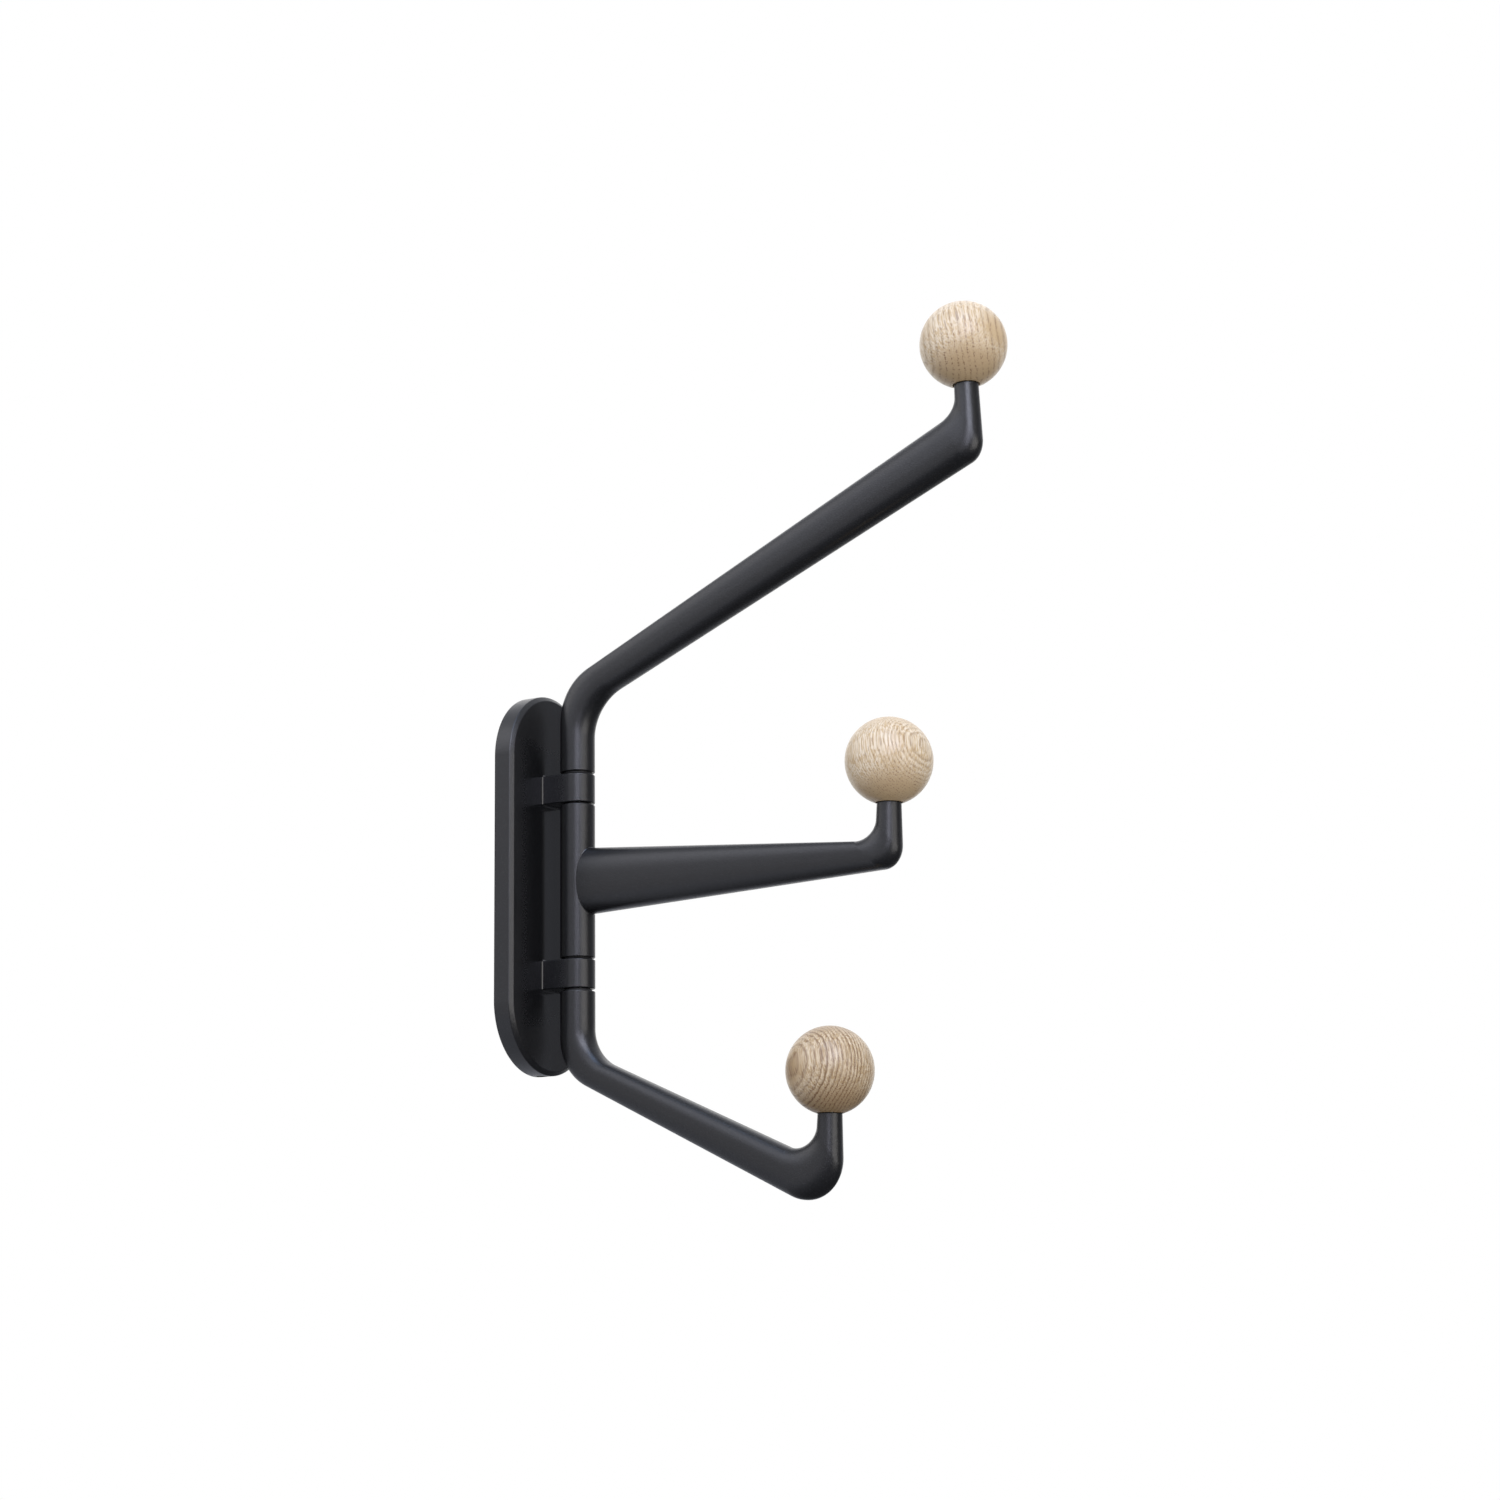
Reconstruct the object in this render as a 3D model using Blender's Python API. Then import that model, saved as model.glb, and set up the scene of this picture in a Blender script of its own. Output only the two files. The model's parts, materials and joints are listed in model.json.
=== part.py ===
"""Wall hook with three arms that swing on one upright pin, each ending in an oak ball.

Metres, +Z up. The origin is the middle of the wall plate on the wall face, the wall is the
plane Y = 0 and the hook stands out towards -Y. Heights are measured from the plate's middle,
and a reach is measured outwards from the hinge axis.
"""
import math

import bmesh
import bpy
from mathutils import Matrix, Vector

# Wall plate: an upright casting with half-round ends and a hollow back
PLATE_WIDTH = 0.0583
PLATE_HEIGHT = 0.1595
PLATE_THICKNESS = 0.0088
PLATE_CHAMFER_WIDTH = 0.0018
PLATE_CHAMFER_DEPTH = 0.0014
PLATE_SIDE_WALL = 0.0026
PLATE_FACE_WALL = 0.0024

# Hinge: lugs on the plate, hub between them, tubes above and below
HINGE_REACH = 0.0216
TUBE_DIAMETER = 0.0145
TUBE_EDGE_ROUND = 0.0004
LUG_HEIGHT = 0.0120
HUB_LENGTH = 0.0640
HUB_GAP = 0.0008
ARM_GAP = 0.0011

# Hinge pin, with a groove near each end for a screw to run in
PIN_DIAMETER = 0.0060
PIN_GRIP = 0.0240
PIN_END_CHAMFER = 0.0006
GROOVE_INSET = 0.0040
GROOVE_WIDTH = 0.0032
GROOVE_DEPTH = 0.0010

# Flanged bushes that line the arms
BUSH_WALL = 0.0010
BUSH_LENGTH = 0.0140
FLANGE_DIAMETER = 0.0118
FLANGE_SEAT_DEPTH = 0.0009

# Dog-point grub screws that hold the upper and lower arm on the pin
GRUB_DIAMETER = 0.0040
GRUB_POINT_DIAMETER = 0.0024
GRUB_RECESS = 0.0004
SOCKET_WIDTH = 0.0020
SOCKET_DEPTH = 0.0014

# Upper arm. The crook is the corner that a coat hangs in, between the bar's top edge and
# the stub, and the nose is the outer corner under it. Both are measured down from the
# ball's centre. The stub offset says how far the stub's foot stands out past the ball.
UPPER_BALL_REACH = 0.1861
UPPER_BALL_HEIGHT = 0.1987
UPPER_STUB_OFFSET = 0.0018
UPPER_TOP_BEND_HEIGHT = 0.0831
UPPER_TOP_BEND_RADIUS = 0.0240
UPPER_UNDER_BEND_HEIGHT = 0.0742
UPPER_UNDER_BEND_RADIUS = 0.0216
UPPER_CROOK_DROP = 0.0279
UPPER_CROOK_RADIUS = 0.0110
UPPER_NOSE_DROP = 0.0462
UPPER_NOSE_RADIUS = 0.0089

# Middle arm, whose bar grows straight out of the hub
MIDDLE_BALL_REACH = 0.1485
MIDDLE_BALL_HEIGHT = 0.0343
MIDDLE_STUB_OFFSET = -0.0007
MIDDLE_BAR_TOP_HEIGHT = 0.0141
MIDDLE_BAR_UNDER_DROP = 0.0144
MIDDLE_CROOK_DROP = 0.0315
MIDDLE_CROOK_RADIUS = 0.0089
MIDDLE_NOSE_DROP = 0.0425
MIDDLE_NOSE_RADIUS = 0.0087

# Lower arm, with its bends and ball measured down from the plate's middle
LOWER_BALL_REACH = 0.1194
LOWER_BALL_DROP = 0.0857
LOWER_STUB_OFFSET = -0.0009
LOWER_TOP_BEND_DROP = 0.0725
LOWER_TOP_BEND_RADIUS = 0.0178
LOWER_UNDER_BEND_DROP = 0.0790
LOWER_UNDER_BEND_RADIUS = 0.0226
LOWER_CROOK_DROP = 0.0344
LOWER_CROOK_RADIUS = 0.0096
LOWER_NOSE_DROP = 0.0592
LOWER_NOSE_RADIUS = 0.0150

# Bars and stubs, alike on all three arms
BAR_THICKNESS = 0.0126
STUB_FOOT_DIAMETER = 0.0109
STUB_DIAMETER = 0.0098

# Balls, with the brass insert and the steel stud that hold each one
BALL_DIAMETER = 0.0350
BALL_SEAT_DIAMETER = 0.0109
INSERT_DIAMETER = 0.0075
INSERT_LENGTH = 0.0110
INSERT_RECESS = 0.0006
INSERT_GROOVE_WIDTH = 0.0020
INSERT_GROOVE_DEPTH = 0.0005
STUD_DIAMETER = 0.0050
STUD_END_CHAMFER = 0.0005
STUD_IN_STUB = 0.0120
STUD_IN_BALL = 0.0100

# Wall bracket: a joggled strap whose tongue stands in front of the plate's lip, and whose
# foot turns out for the locking screw to press on
BRACKET_WIDTH = 0.0300
BRACKET_THICKNESS = 0.0020
BRACKET_FOOT_CLEARANCE = 0.0006
BRACKET_JOGGLE_CLEARANCE = 0.0010
BRACKET_HOLE_DIAMETER = 0.0050
BRACKET_HOLE_SPACING = 0.0800
LIP_THICKNESS = 0.0020
LIP_HEIGHT = 0.0160
LIP_ENGAGEMENT = 0.0060

# Screw that locks the plate on the bracket, and the boss it is tapped in
LOCK_SCREW_DIAMETER = 0.0040
LOCK_SCREW_LENGTH = 0.0120
LOCK_SCREW_POINT = 0.0010
LOCK_SCREW_RECESS = 0.0005
LOCK_SCREW_WALL_DISTANCE = 0.0036
LOCK_BOSS_WIDTH = 0.0100
LOCK_BOSS_HEIGHT = 0.0035
LOCK_BOSS_WALL_DISTANCE = 0.0010

# Clearance between pieces that touch, room left at the bottom of a blind hole, and the
# overrun of a cut
FIT_GAP = 0.0003
BLIND_END_ROOM = 0.0008
OVERRUN = 0.0010

# How the round shapes are divided
TUBE_SIDES = 32
SMALL_SIDES = 20
BALL_SIDES = 28
BALL_ARC_STEPS = 13
PLATE_ARC_STEPS = 16
LUG_ARC_STEPS = 12
BEND_STEPS = 8

# Exponents of the arms' rounded sections: 2 is an ellipse, more is squarer
ROUND_EXPONENT = 2.0
BAR_EXPONENT = 2.6

# Radii and levels that follow from the sizes above
TUBE_RADIUS = TUBE_DIAMETER / 2
HUB_END = HUB_LENGTH / 2
LUG_START = HUB_END + HUB_GAP
LUG_END = LUG_START + LUG_HEIGHT
TUBE_START = LUG_END + ARM_GAP
PIN_RADIUS = PIN_DIAMETER / 2
PIN_END = LUG_END + PIN_GRIP
PIN_BORE_RADIUS = PIN_RADIUS + FIT_GAP
GROOVE_RADIUS = PIN_RADIUS - GROOVE_DEPTH
GROOVE_HEIGHT = PIN_END - GROOVE_INSET
BUSH_RADIUS = PIN_BORE_RADIUS + BUSH_WALL
FLANGE_RADIUS = FLANGE_DIAMETER / 2
BALL_RADIUS = BALL_DIAMETER / 2
BALL_SEAT_RADIUS = BALL_SEAT_DIAMETER / 2
STUB_TIP_LEVEL = math.sqrt(BALL_RADIUS ** 2 - BALL_SEAT_RADIUS ** 2)
BALL_SEAT_LEVEL = STUB_TIP_LEVEL - FIT_GAP
STUD_RADIUS = STUD_DIAMETER / 2
STUD_BORE_RADIUS = STUD_RADIUS + FIT_GAP
RECESS_DEPTH = PLATE_THICKNESS - PLATE_FACE_WALL
RECESS_END = PLATE_HEIGHT / 2 - PLATE_SIDE_WALL
LIP_EDGE = RECESS_END - LIP_HEIGHT
BRACKET_FOOT = -PLATE_HEIGHT / 2 + LOCK_SCREW_RECESS + LOCK_SCREW_LENGTH + FIT_GAP


def finish(name, colour, roughness, metallic):
    """A plain finish: colour, roughness and whether it is bare metal."""
    material = bpy.data.materials.new(name)
    material.use_nodes = True
    shader = material.node_tree.nodes["Principled BSDF"]
    shader.inputs["Base Color"].default_value = (*colour, 1.0)
    shader.inputs["Roughness"].default_value = roughness
    shader.inputs["Metallic"].default_value = metallic
    material.diffuse_color = (*colour, 1.0)
    return material


def anthracite_coat():
    """Satin anthracite powder coat of the castings."""
    return finish("anthracite_coat", (0.045, 0.046, 0.050), 0.45, 0.0)


def lacquered_oak():
    """Pale oak under a matt lacquer."""
    return finish("lacquered_oak", (0.62, 0.47, 0.31), 0.50, 0.0)


def zinc_plated_steel():
    """Zinc-plated steel of the pin, the studs and the bracket."""
    return finish("zinc_plated_steel", (0.62, 0.63, 0.65), 0.35, 1.0)


def blackened_steel():
    """Dark steel of the small screws."""
    return finish("blackened_steel", (0.06, 0.06, 0.065), 0.40, 1.0)


def black_acetal():
    """Bearing plastic of the bushes."""
    return finish("black_acetal", (0.02, 0.02, 0.022), 0.50, 0.0)


def turned_brass():
    """Brass of the threaded inserts."""
    return finish("turned_brass", (0.78, 0.60, 0.30), 0.30, 1.0)


def clear_scene():
    """Start from an empty scene."""
    for item in list(bpy.data.objects):
        bpy.data.objects.remove(item, do_unlink=True)


def add_object(name, bm, material=None, parent=None, place=None):
    """Make an object of a bmesh, shaded smooth between its real edges."""
    bmesh.ops.recalc_face_normals(bm, faces=bm.faces)
    mesh = bpy.data.meshes.new(name)
    bm.to_mesh(mesh)
    bm.free()
    mesh.shade_smooth()
    mesh.set_sharp_from_angle(angle=math.radians(35))
    item = bpy.data.objects.new(name, mesh)
    bpy.context.collection.objects.link(item)
    item.parent = parent
    if material:
        mesh.materials.append(material)
    if place:
        item.matrix_local = place
    return item


def add_pivot(name):
    """An empty on the hinge axis, for one arm to turn about."""
    pivot = bpy.data.objects.new(name, None)
    bpy.context.collection.objects.link(pivot)
    pivot.location = (0, -HINGE_REACH, 0)
    return pivot


def combine(body, tool, operation):
    """Cut a body with a tool, or join the tool to it. The tool itself is hidden."""
    modifier = body.modifiers.new(tool.name, "BOOLEAN")
    modifier.operation = operation
    modifier.solver = "EXACT"
    modifier.object = tool
    tool.hide_render = True
    tool.display_type = "WIRE"


def turned(profile, sides, bored=False):
    """Revolve a profile of (radius, height) points about Z, as on a lathe.

    The profile of a solid piece starts and ends on the axis. That of a bored piece goes
    right round its section.
    """
    bm = bmesh.new()
    verts = [bm.verts.new((radius, 0, height)) for radius, height in profile]
    edges = [bm.edges.new(pair) for pair in zip(verts, verts[1:])]
    if bored:
        edges.append(bm.edges.new((verts[-1], verts[0])))
    bmesh.ops.spin(bm, geom=verts + edges, cent=(0, 0, 0), axis=(0, 0, 1),
                   angle=math.tau, steps=sides, use_merge=True)
    bmesh.ops.remove_doubles(bm, verts=bm.verts, dist=FIT_GAP / 100)
    return bm


def skinned(rings):
    """Skin a row of rings with the same number of points, and cap both ends."""
    bm = bmesh.new()
    loops = []
    for ring in rings:
        verts = [bm.verts.new(point) for point in ring]
        loops.append([bm.edges.new(pair) for pair in zip(verts, verts[1:] + verts[:1])])
    for first, second in zip(loops, loops[1:]):
        bmesh.ops.bridge_loops(bm, edges=first + second)
    bmesh.ops.holes_fill(bm, edges=loops[0] + loops[-1])
    return bm


def push_face(bm, face, direction):
    """Extrude one face along a vector."""
    swept = bmesh.ops.extrude_face_region(bm, geom=[face])["geom"]
    moved = [item for item in swept if isinstance(item, bmesh.types.BMVert)]
    bmesh.ops.translate(bm, vec=direction, verts=moved)


def extruded(outline, direction):
    """Extrude a flat outline along a vector."""
    bm = bmesh.new()
    face = bm.faces.new([bm.verts.new(point) for point in outline])
    push_face(bm, face, direction)
    return bm


def rod(radius, start, end, sides):
    """A plain round rod along Z."""
    return turned([(0, start), (radius, start), (radius, end), (0, end)], sides)


def arc(centre, radius, start, end, steps):
    """Points along an arc, with its angles in radians."""
    turns = [start + (end - start) * step / steps for step in range(steps + 1)]
    return [centre + radius * Vector((math.cos(turn), math.sin(turn))) for turn in turns]


def rounded_corner(before, corner, after, radius):
    """Points of the arc that rounds a corner between two straight runs."""
    back = (before - corner).normalized()
    ahead = (after - corner).normalized()
    half_angle = back.angle(ahead) / 2
    sweep = math.pi - 2 * half_angle
    centre = corner + (back + ahead).normalized() * radius / math.sin(half_angle)
    start = corner + back * radius / math.tan(half_angle) - centre
    end = corner + ahead * radius / math.tan(half_angle) - centre
    points = []
    for step in range(BEND_STEPS + 1):
        share = step / BEND_STEPS
        spoke = math.sin((1 - share) * sweep) * start + math.sin(share * sweep) * end
        points.append(centre + spoke / math.sin(sweep))
    return points


def eased(start, end, share):
    """A value that eases from start to end as share goes from 0 to 1."""
    return start + (end - start) * share * share * (3 - 2 * share)


# Arms are drawn in the upright plane through the hinge axis, as (reach, height) points.
# The bar's top edge and its underside are two paths, paired point by point. Each pair
# carries a ring, whose section eases from round tube to flattened bar to round stub.

def section_ring(top, under, thickness, exponent):
    """A rounded section that spans two edge points, square to the arm's plane."""
    middle = (top + under) / 2
    half_span = (top - under) / 2
    ring = []
    for side in range(TUBE_SIDES):
        turn = math.tau * side / TUBE_SIDES
        along = math.copysign(abs(math.cos(turn)) ** (2 / exponent), math.cos(turn))
        across = math.copysign(abs(math.sin(turn)) ** (2 / exponent), math.sin(turn))
        point = middle + half_span * along
        ring.append((thickness / 2 * across, -point.x, point.y))
    return ring


def tube_ring(radius, height, top_side=1):
    """A round section of an upright tube. The top side is 1 at the front, -1 at the back."""
    top = Vector((top_side * radius, height))
    under = Vector((-top_side * radius, height))
    return section_ring(top, under, 2 * radius, ROUND_EXPONENT)


def bend_rings(top_arc, under_arc, thicknesses, exponents):
    """The rings round a bend, between its two edge arcs."""
    rings = []
    for step, (top, under) in enumerate(zip(top_arc, under_arc)):
        share = step / BEND_STEPS
        rings.append(section_ring(top, under, eased(*thicknesses, share), eased(*exponents, share)))
    return rings


def arm_shape(ball_reach, ball_height, stub_offset, crook_drop, crook_radius, nose_drop, nose_radius):
    """The outer end of an arm: its ball's centre, elbow corners and stub."""
    ball = Vector((ball_reach, ball_height))
    foot_reach = ball_reach + stub_offset
    foot = Vector((foot_reach, ball_height - (crook_drop + nose_drop) / 2))
    axis = (ball - foot).normalized()
    tip = ball - axis * STUB_TIP_LEVEL
    to_nose = Vector((axis.y, -axis.x)) * STUB_DIAMETER / 2
    return {
        "ball": ball,
        "axis": axis,
        "crook": Vector((foot_reach - STUB_FOOT_DIAMETER / 2, ball_height - crook_drop)),
        "nose": Vector((foot_reach + STUB_FOOT_DIAMETER / 2, ball_height - nose_drop)),
        "crook_radius": crook_radius,
        "nose_radius": nose_radius,
        "crook_tip": tip - to_nose,
        "nose_tip": tip + to_nose,
    }


def elbow_rings(shape, top_root, under_root):
    """The rings of the elbow and the stub, from the outer end of the bar to the ball."""
    crook = rounded_corner(top_root, shape["crook"], shape["crook_tip"], shape["crook_radius"])
    nose = rounded_corner(under_root, shape["nose"], shape["nose_tip"], shape["nose_radius"])
    rings = bend_rings(crook, nose, (BAR_THICKNESS, STUB_FOOT_DIAMETER), (BAR_EXPONENT, ROUND_EXPONENT))
    rings.append(section_ring(shape["crook_tip"], shape["nose_tip"], STUB_DIAMETER, ROUND_EXPONENT))
    return rings


def bent_arm(shape, tube_start, top_side, top_bend, top_radius, under_bend, under_radius):
    """One skin from the open end of the tube, round its bend and along the bar to the stub."""
    inward = math.copysign(1, tube_start)
    top_reach = top_side * TUBE_RADIUS
    top_corner = Vector((top_reach, top_bend))
    under_corner = Vector((-top_reach, under_bend))
    top_arc = rounded_corner(Vector((top_reach, tube_start)), top_corner, shape["crook"], top_radius)
    under_arc = rounded_corner(Vector((-top_reach, tube_start)), under_corner, shape["nose"], under_radius)
    rings = [
        tube_ring(TUBE_RADIUS - TUBE_EDGE_ROUND, tube_start, top_side),
        tube_ring(TUBE_RADIUS, tube_start + inward * TUBE_EDGE_ROUND, top_side),
    ]
    rings += bend_rings(top_arc, under_arc, (TUBE_DIAMETER, BAR_THICKNESS), (ROUND_EXPONENT, BAR_EXPONENT))
    rings += elbow_rings(shape, top_corner, under_corner)
    return skinned(rings)


def bore_steps(mouth, inward):
    """Profile of a bush's bore, from beyond the mouth inwards. Inward is 1 up, -1 down."""
    depths = [
        (FLANGE_RADIUS + FIT_GAP, -OVERRUN),
        (FLANGE_RADIUS + FIT_GAP, FLANGE_SEAT_DEPTH),
        (BUSH_RADIUS + FIT_GAP, FLANGE_SEAT_DEPTH),
        (BUSH_RADIUS + FIT_GAP, FLANGE_SEAT_DEPTH + BUSH_LENGTH + FIT_GAP),
        (PIN_BORE_RADIUS, FLANGE_SEAT_DEPTH + BUSH_LENGTH + FIT_GAP),
    ]
    return [(radius, mouth + inward * depth) for radius, depth in depths]


def bore_tube(arm, name, mouth, inward):
    """Bore a tube for its bush and the end of the pin, and drill it for its grub screw."""
    outside = mouth - inward * OVERRUN
    bottom = inward * (PIN_END + BLIND_END_ROOM)
    profile = [(0, outside), *bore_steps(mouth, inward), (PIN_BORE_RADIUS, bottom), (0, bottom)]
    bore = add_object(name + "_bore_cutter", turned(profile, TUBE_SIDES), parent=arm.parent)
    combine(arm, bore, "DIFFERENCE")
    hole = rod(GRUB_DIAMETER / 2 + FIT_GAP, 0, TUBE_RADIUS + OVERRUN, SMALL_SIDES)
    drill = add_object(name + "_grub_cutter", hole, parent=arm.parent, place=grub_place(inward))
    combine(arm, drill, "DIFFERENCE")


def grub_place(inward):
    """Frame of a grub screw: on the hinge axis at the pin's groove, Z towards the wall."""
    level = Matrix.Translation((0, 0, inward * GROOVE_HEIGHT))
    return level @ Matrix.Rotation(-math.pi / 2, 4, "X")


def ball_place(shape):
    """Frame of a ball: at its centre, Z along the stub and away from it."""
    lean = math.atan2(shape["axis"].x, shape["axis"].y)
    return Matrix.Translation((0, -shape["ball"].x, shape["ball"].y)) @ Matrix.Rotation(lean, 4, "X")


def drill_stub(arm, name, shape):
    """Drill the stub for the ball's stud."""
    bottom = -STUB_TIP_LEVEL - STUD_IN_STUB - BLIND_END_ROOM
    hole = rod(STUD_BORE_RADIUS, bottom, OVERRUN - STUB_TIP_LEVEL, SMALL_SIDES)
    drill = add_object(name + "_stud_cutter", hole, parent=arm.parent, place=ball_place(shape))
    combine(arm, drill, "DIFFERENCE")


def plate_shell():
    """The plate: an upright shape with half-round ends, a chamfered face and a hollow back."""
    radius = PLATE_WIDTH / 2
    centre = Vector((0, PLATE_HEIGHT / 2 - radius))
    top = arc(centre, radius, 0, math.pi, PLATE_ARC_STEPS)
    foot = arc(-centre, radius, math.pi, math.tau, PLATE_ARC_STEPS)
    outline = [(point.x, 0, point.y) for point in top + foot]
    bm = extruded(outline, (0, PLATE_CHAMFER_DEPTH - PLATE_THICKNESS, 0))
    bmesh.ops.recalc_face_normals(bm, faces=bm.faces)
    front = min(bm.faces, key=lambda face: face.calc_center_median().y)
    back = max(bm.faces, key=lambda face: face.calc_center_median().y)
    bmesh.ops.inset_region(bm, faces=[front], thickness=PLATE_CHAMFER_WIDTH, depth=PLATE_CHAMFER_DEPTH,
                           use_even_offset=True)
    bmesh.ops.inset_region(bm, faces=[back], thickness=PLATE_SIDE_WALL, use_even_offset=True)
    push_face(bm, back, (0, -RECESS_DEPTH, 0))
    bmesh.ops.delete(bm, geom=[back], context="FACES_ONLY")
    return bm


def lug_ring(inset, height):
    """Outline of a lug, rooted in the plate's face and round about the hinge axis."""
    root = PLATE_FACE_WALL / 2 - PLATE_THICKNESS
    nose = arc(Vector((0, -HINGE_REACH)), TUBE_RADIUS - inset, math.pi, math.tau, LUG_ARC_STEPS)
    outline = [Vector((nose[0].x, root)), *nose, Vector((nose[-1].x, root))]
    return [(point.x, point.y, height) for point in outline]


def lug(side):
    """One lug of the hinge. Side is 1 for the upper lug and -1 for the lower."""
    levels = [
        (TUBE_EDGE_ROUND, LUG_START),
        (0, LUG_START + TUBE_EDGE_ROUND),
        (0, LUG_END - TUBE_EDGE_ROUND),
        (TUBE_EDGE_ROUND, LUG_END),
    ]
    return skinned([lug_ring(inset, side * level) for inset, level in levels])


def lip():
    """Lip across the top of the recess, which hangs behind the bracket's tongue."""
    radius = (PLATE_WIDTH - PLATE_SIDE_WALL) / 2
    centre = Vector((0, (PLATE_HEIGHT - PLATE_WIDTH) / 2))
    start = math.asin((LIP_EDGE - centre.y) / radius)
    outline = [(point.x, -FIT_GAP, point.y) for point in
               arc(centre, radius, start, math.pi - start, PLATE_ARC_STEPS)]
    return extruded(outline, (0, -LIP_THICKNESS, 0))


def lock_boss():
    """Boss inside the foot of the recess that the locking screw is tapped in."""
    root = (PLATE_SIDE_WALL - PLATE_HEIGHT) / 2
    top = LOCK_BOSS_HEIGHT - RECESS_END
    half = LOCK_BOSS_WIDTH / 2
    back = -LOCK_BOSS_WALL_DISTANCE
    front = -RECESS_DEPTH - PLATE_FACE_WALL / 2
    outline = [(-half, back, root), (half, back, root), (half, back, top), (-half, back, top)]
    return extruded(outline, (0, front - back, 0))


def wall_plate():
    """The plate casting, with its two lugs, the lip and the boss, bored and tapped."""
    plate = add_object("wall_plate", plate_shell(), anthracite_coat())
    forms = [
        ("upper_lug_form", lug(1)),
        ("lower_lug_form", lug(-1)),
        ("lip_form", lip()),
        ("lock_boss_form", lock_boss()),
    ]
    for name, form in forms:
        combine(plate, add_object(name, form), "UNION")
    pin_hole = rod(PIN_BORE_RADIUS, -LUG_END - OVERRUN, LUG_END + OVERRUN, TUBE_SIDES)
    pin_cutter = add_object("pin_bore_cutter", pin_hole, place=Matrix.Translation((0, -HINGE_REACH, 0)))
    combine(plate, pin_cutter, "DIFFERENCE")
    mouth = -PLATE_HEIGHT / 2 - OVERRUN
    boss_top = LOCK_BOSS_HEIGHT - RECESS_END
    lock_hole = rod(LOCK_SCREW_DIAMETER / 2 + FIT_GAP, mouth, boss_top + OVERRUN, SMALL_SIDES)
    lock_cutter = add_object("lock_hole_cutter", lock_hole,
                             place=Matrix.Translation((0, -LOCK_SCREW_WALL_DISTANCE, 0)))
    combine(plate, lock_cutter, "DIFFERENCE")


def wall_bracket():
    """Pressed strap on the wall: foot, back, joggle and tongue, with two screw holes."""
    joggle = LIP_THICKNESS + 2 * FIT_GAP
    joggle_top = LIP_EDGE - BRACKET_JOGGLE_CLEARANCE
    joggle_foot = joggle_top - joggle
    tongue_top = LIP_EDGE + LIP_ENGAGEMENT
    mitre = BRACKET_THICKNESS * math.tan(math.pi / 8)
    foot_reach = RECESS_DEPTH - BRACKET_FOOT_CLEARANCE
    side_view = [
        (0, BRACKET_FOOT),
        (0, joggle_foot),
        (joggle, joggle_top),
        (joggle, tongue_top),
        (joggle + BRACKET_THICKNESS, tongue_top),
        (joggle + BRACKET_THICKNESS, joggle_top - mitre),
        (BRACKET_THICKNESS, joggle_foot - mitre),
        (BRACKET_THICKNESS, BRACKET_FOOT + BRACKET_THICKNESS),
        (foot_reach, BRACKET_FOOT + BRACKET_THICKNESS),
        (foot_reach, BRACKET_FOOT),
    ]
    outline = [(-BRACKET_WIDTH / 2, -depth, height) for depth, height in side_view]
    bracket = add_object("wall_bracket", extruded(outline, (BRACKET_WIDTH, 0, 0)), zinc_plated_steel())
    for name, side in (("upper", 1), ("lower", -1)):
        hole = rod(BRACKET_HOLE_DIAMETER / 2, -OVERRUN, BRACKET_THICKNESS + OVERRUN, SMALL_SIDES)
        level = Matrix.Translation((0, 0, side * BRACKET_HOLE_SPACING / 2))
        place = level @ Matrix.Rotation(math.pi / 2, 4, "X")
        combine(bracket, add_object(name + "_bracket_hole_cutter", hole, place=place), "DIFFERENCE")


def add_socket(screw, name, end, place, parent=None):
    """Cut a hexagonal socket in the end of a screw."""
    radius = SOCKET_WIDTH / 2 / math.cos(math.pi / 6)
    socket = rod(radius, end - SOCKET_DEPTH, end + OVERRUN, 6)
    combine(screw, add_object(name + "_socket_cutter", socket, parent=parent, place=place), "DIFFERENCE")


def locking_screw():
    """Grub screw up through the plate's foot, with its point against the bracket."""
    radius = LOCK_SCREW_DIAMETER / 2
    profile = [
        (0, 0),
        (radius, 0),
        (radius, LOCK_SCREW_POINT - LOCK_SCREW_LENGTH),
        (radius - LOCK_SCREW_POINT, -LOCK_SCREW_LENGTH),
        (0, -LOCK_SCREW_LENGTH),
    ]
    mouth = Vector((0, -LOCK_SCREW_WALL_DISTANCE, LOCK_SCREW_RECESS - PLATE_HEIGHT / 2))
    place = Matrix.Translation(mouth) @ Matrix.Rotation(math.pi, 4, "X")
    screw = add_object("locking_screw", turned(profile, SMALL_SIDES), blackened_steel(), place=place)
    add_socket(screw, "locking_screw", 0, place)


def hinge_pin():
    """Steel pin through the lugs, the hub and both tubes, grooved near each end."""
    half = [
        (PIN_RADIUS, GROOVE_HEIGHT - GROOVE_WIDTH / 2),
        (GROOVE_RADIUS, GROOVE_HEIGHT - GROOVE_WIDTH / 2),
        (GROOVE_RADIUS, GROOVE_HEIGHT + GROOVE_WIDTH / 2),
        (PIN_RADIUS, GROOVE_HEIGHT + GROOVE_WIDTH / 2),
        (PIN_RADIUS, PIN_END - PIN_END_CHAMFER),
        (PIN_RADIUS - PIN_END_CHAMFER, PIN_END),
        (0, PIN_END),
    ]
    lower = [(radius, -height) for radius, height in reversed(half)]
    add_object("hinge_pin", turned(lower + half, TUBE_SIDES), zinc_plated_steel(),
               place=Matrix.Translation((0, -HINGE_REACH, 0)))


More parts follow.
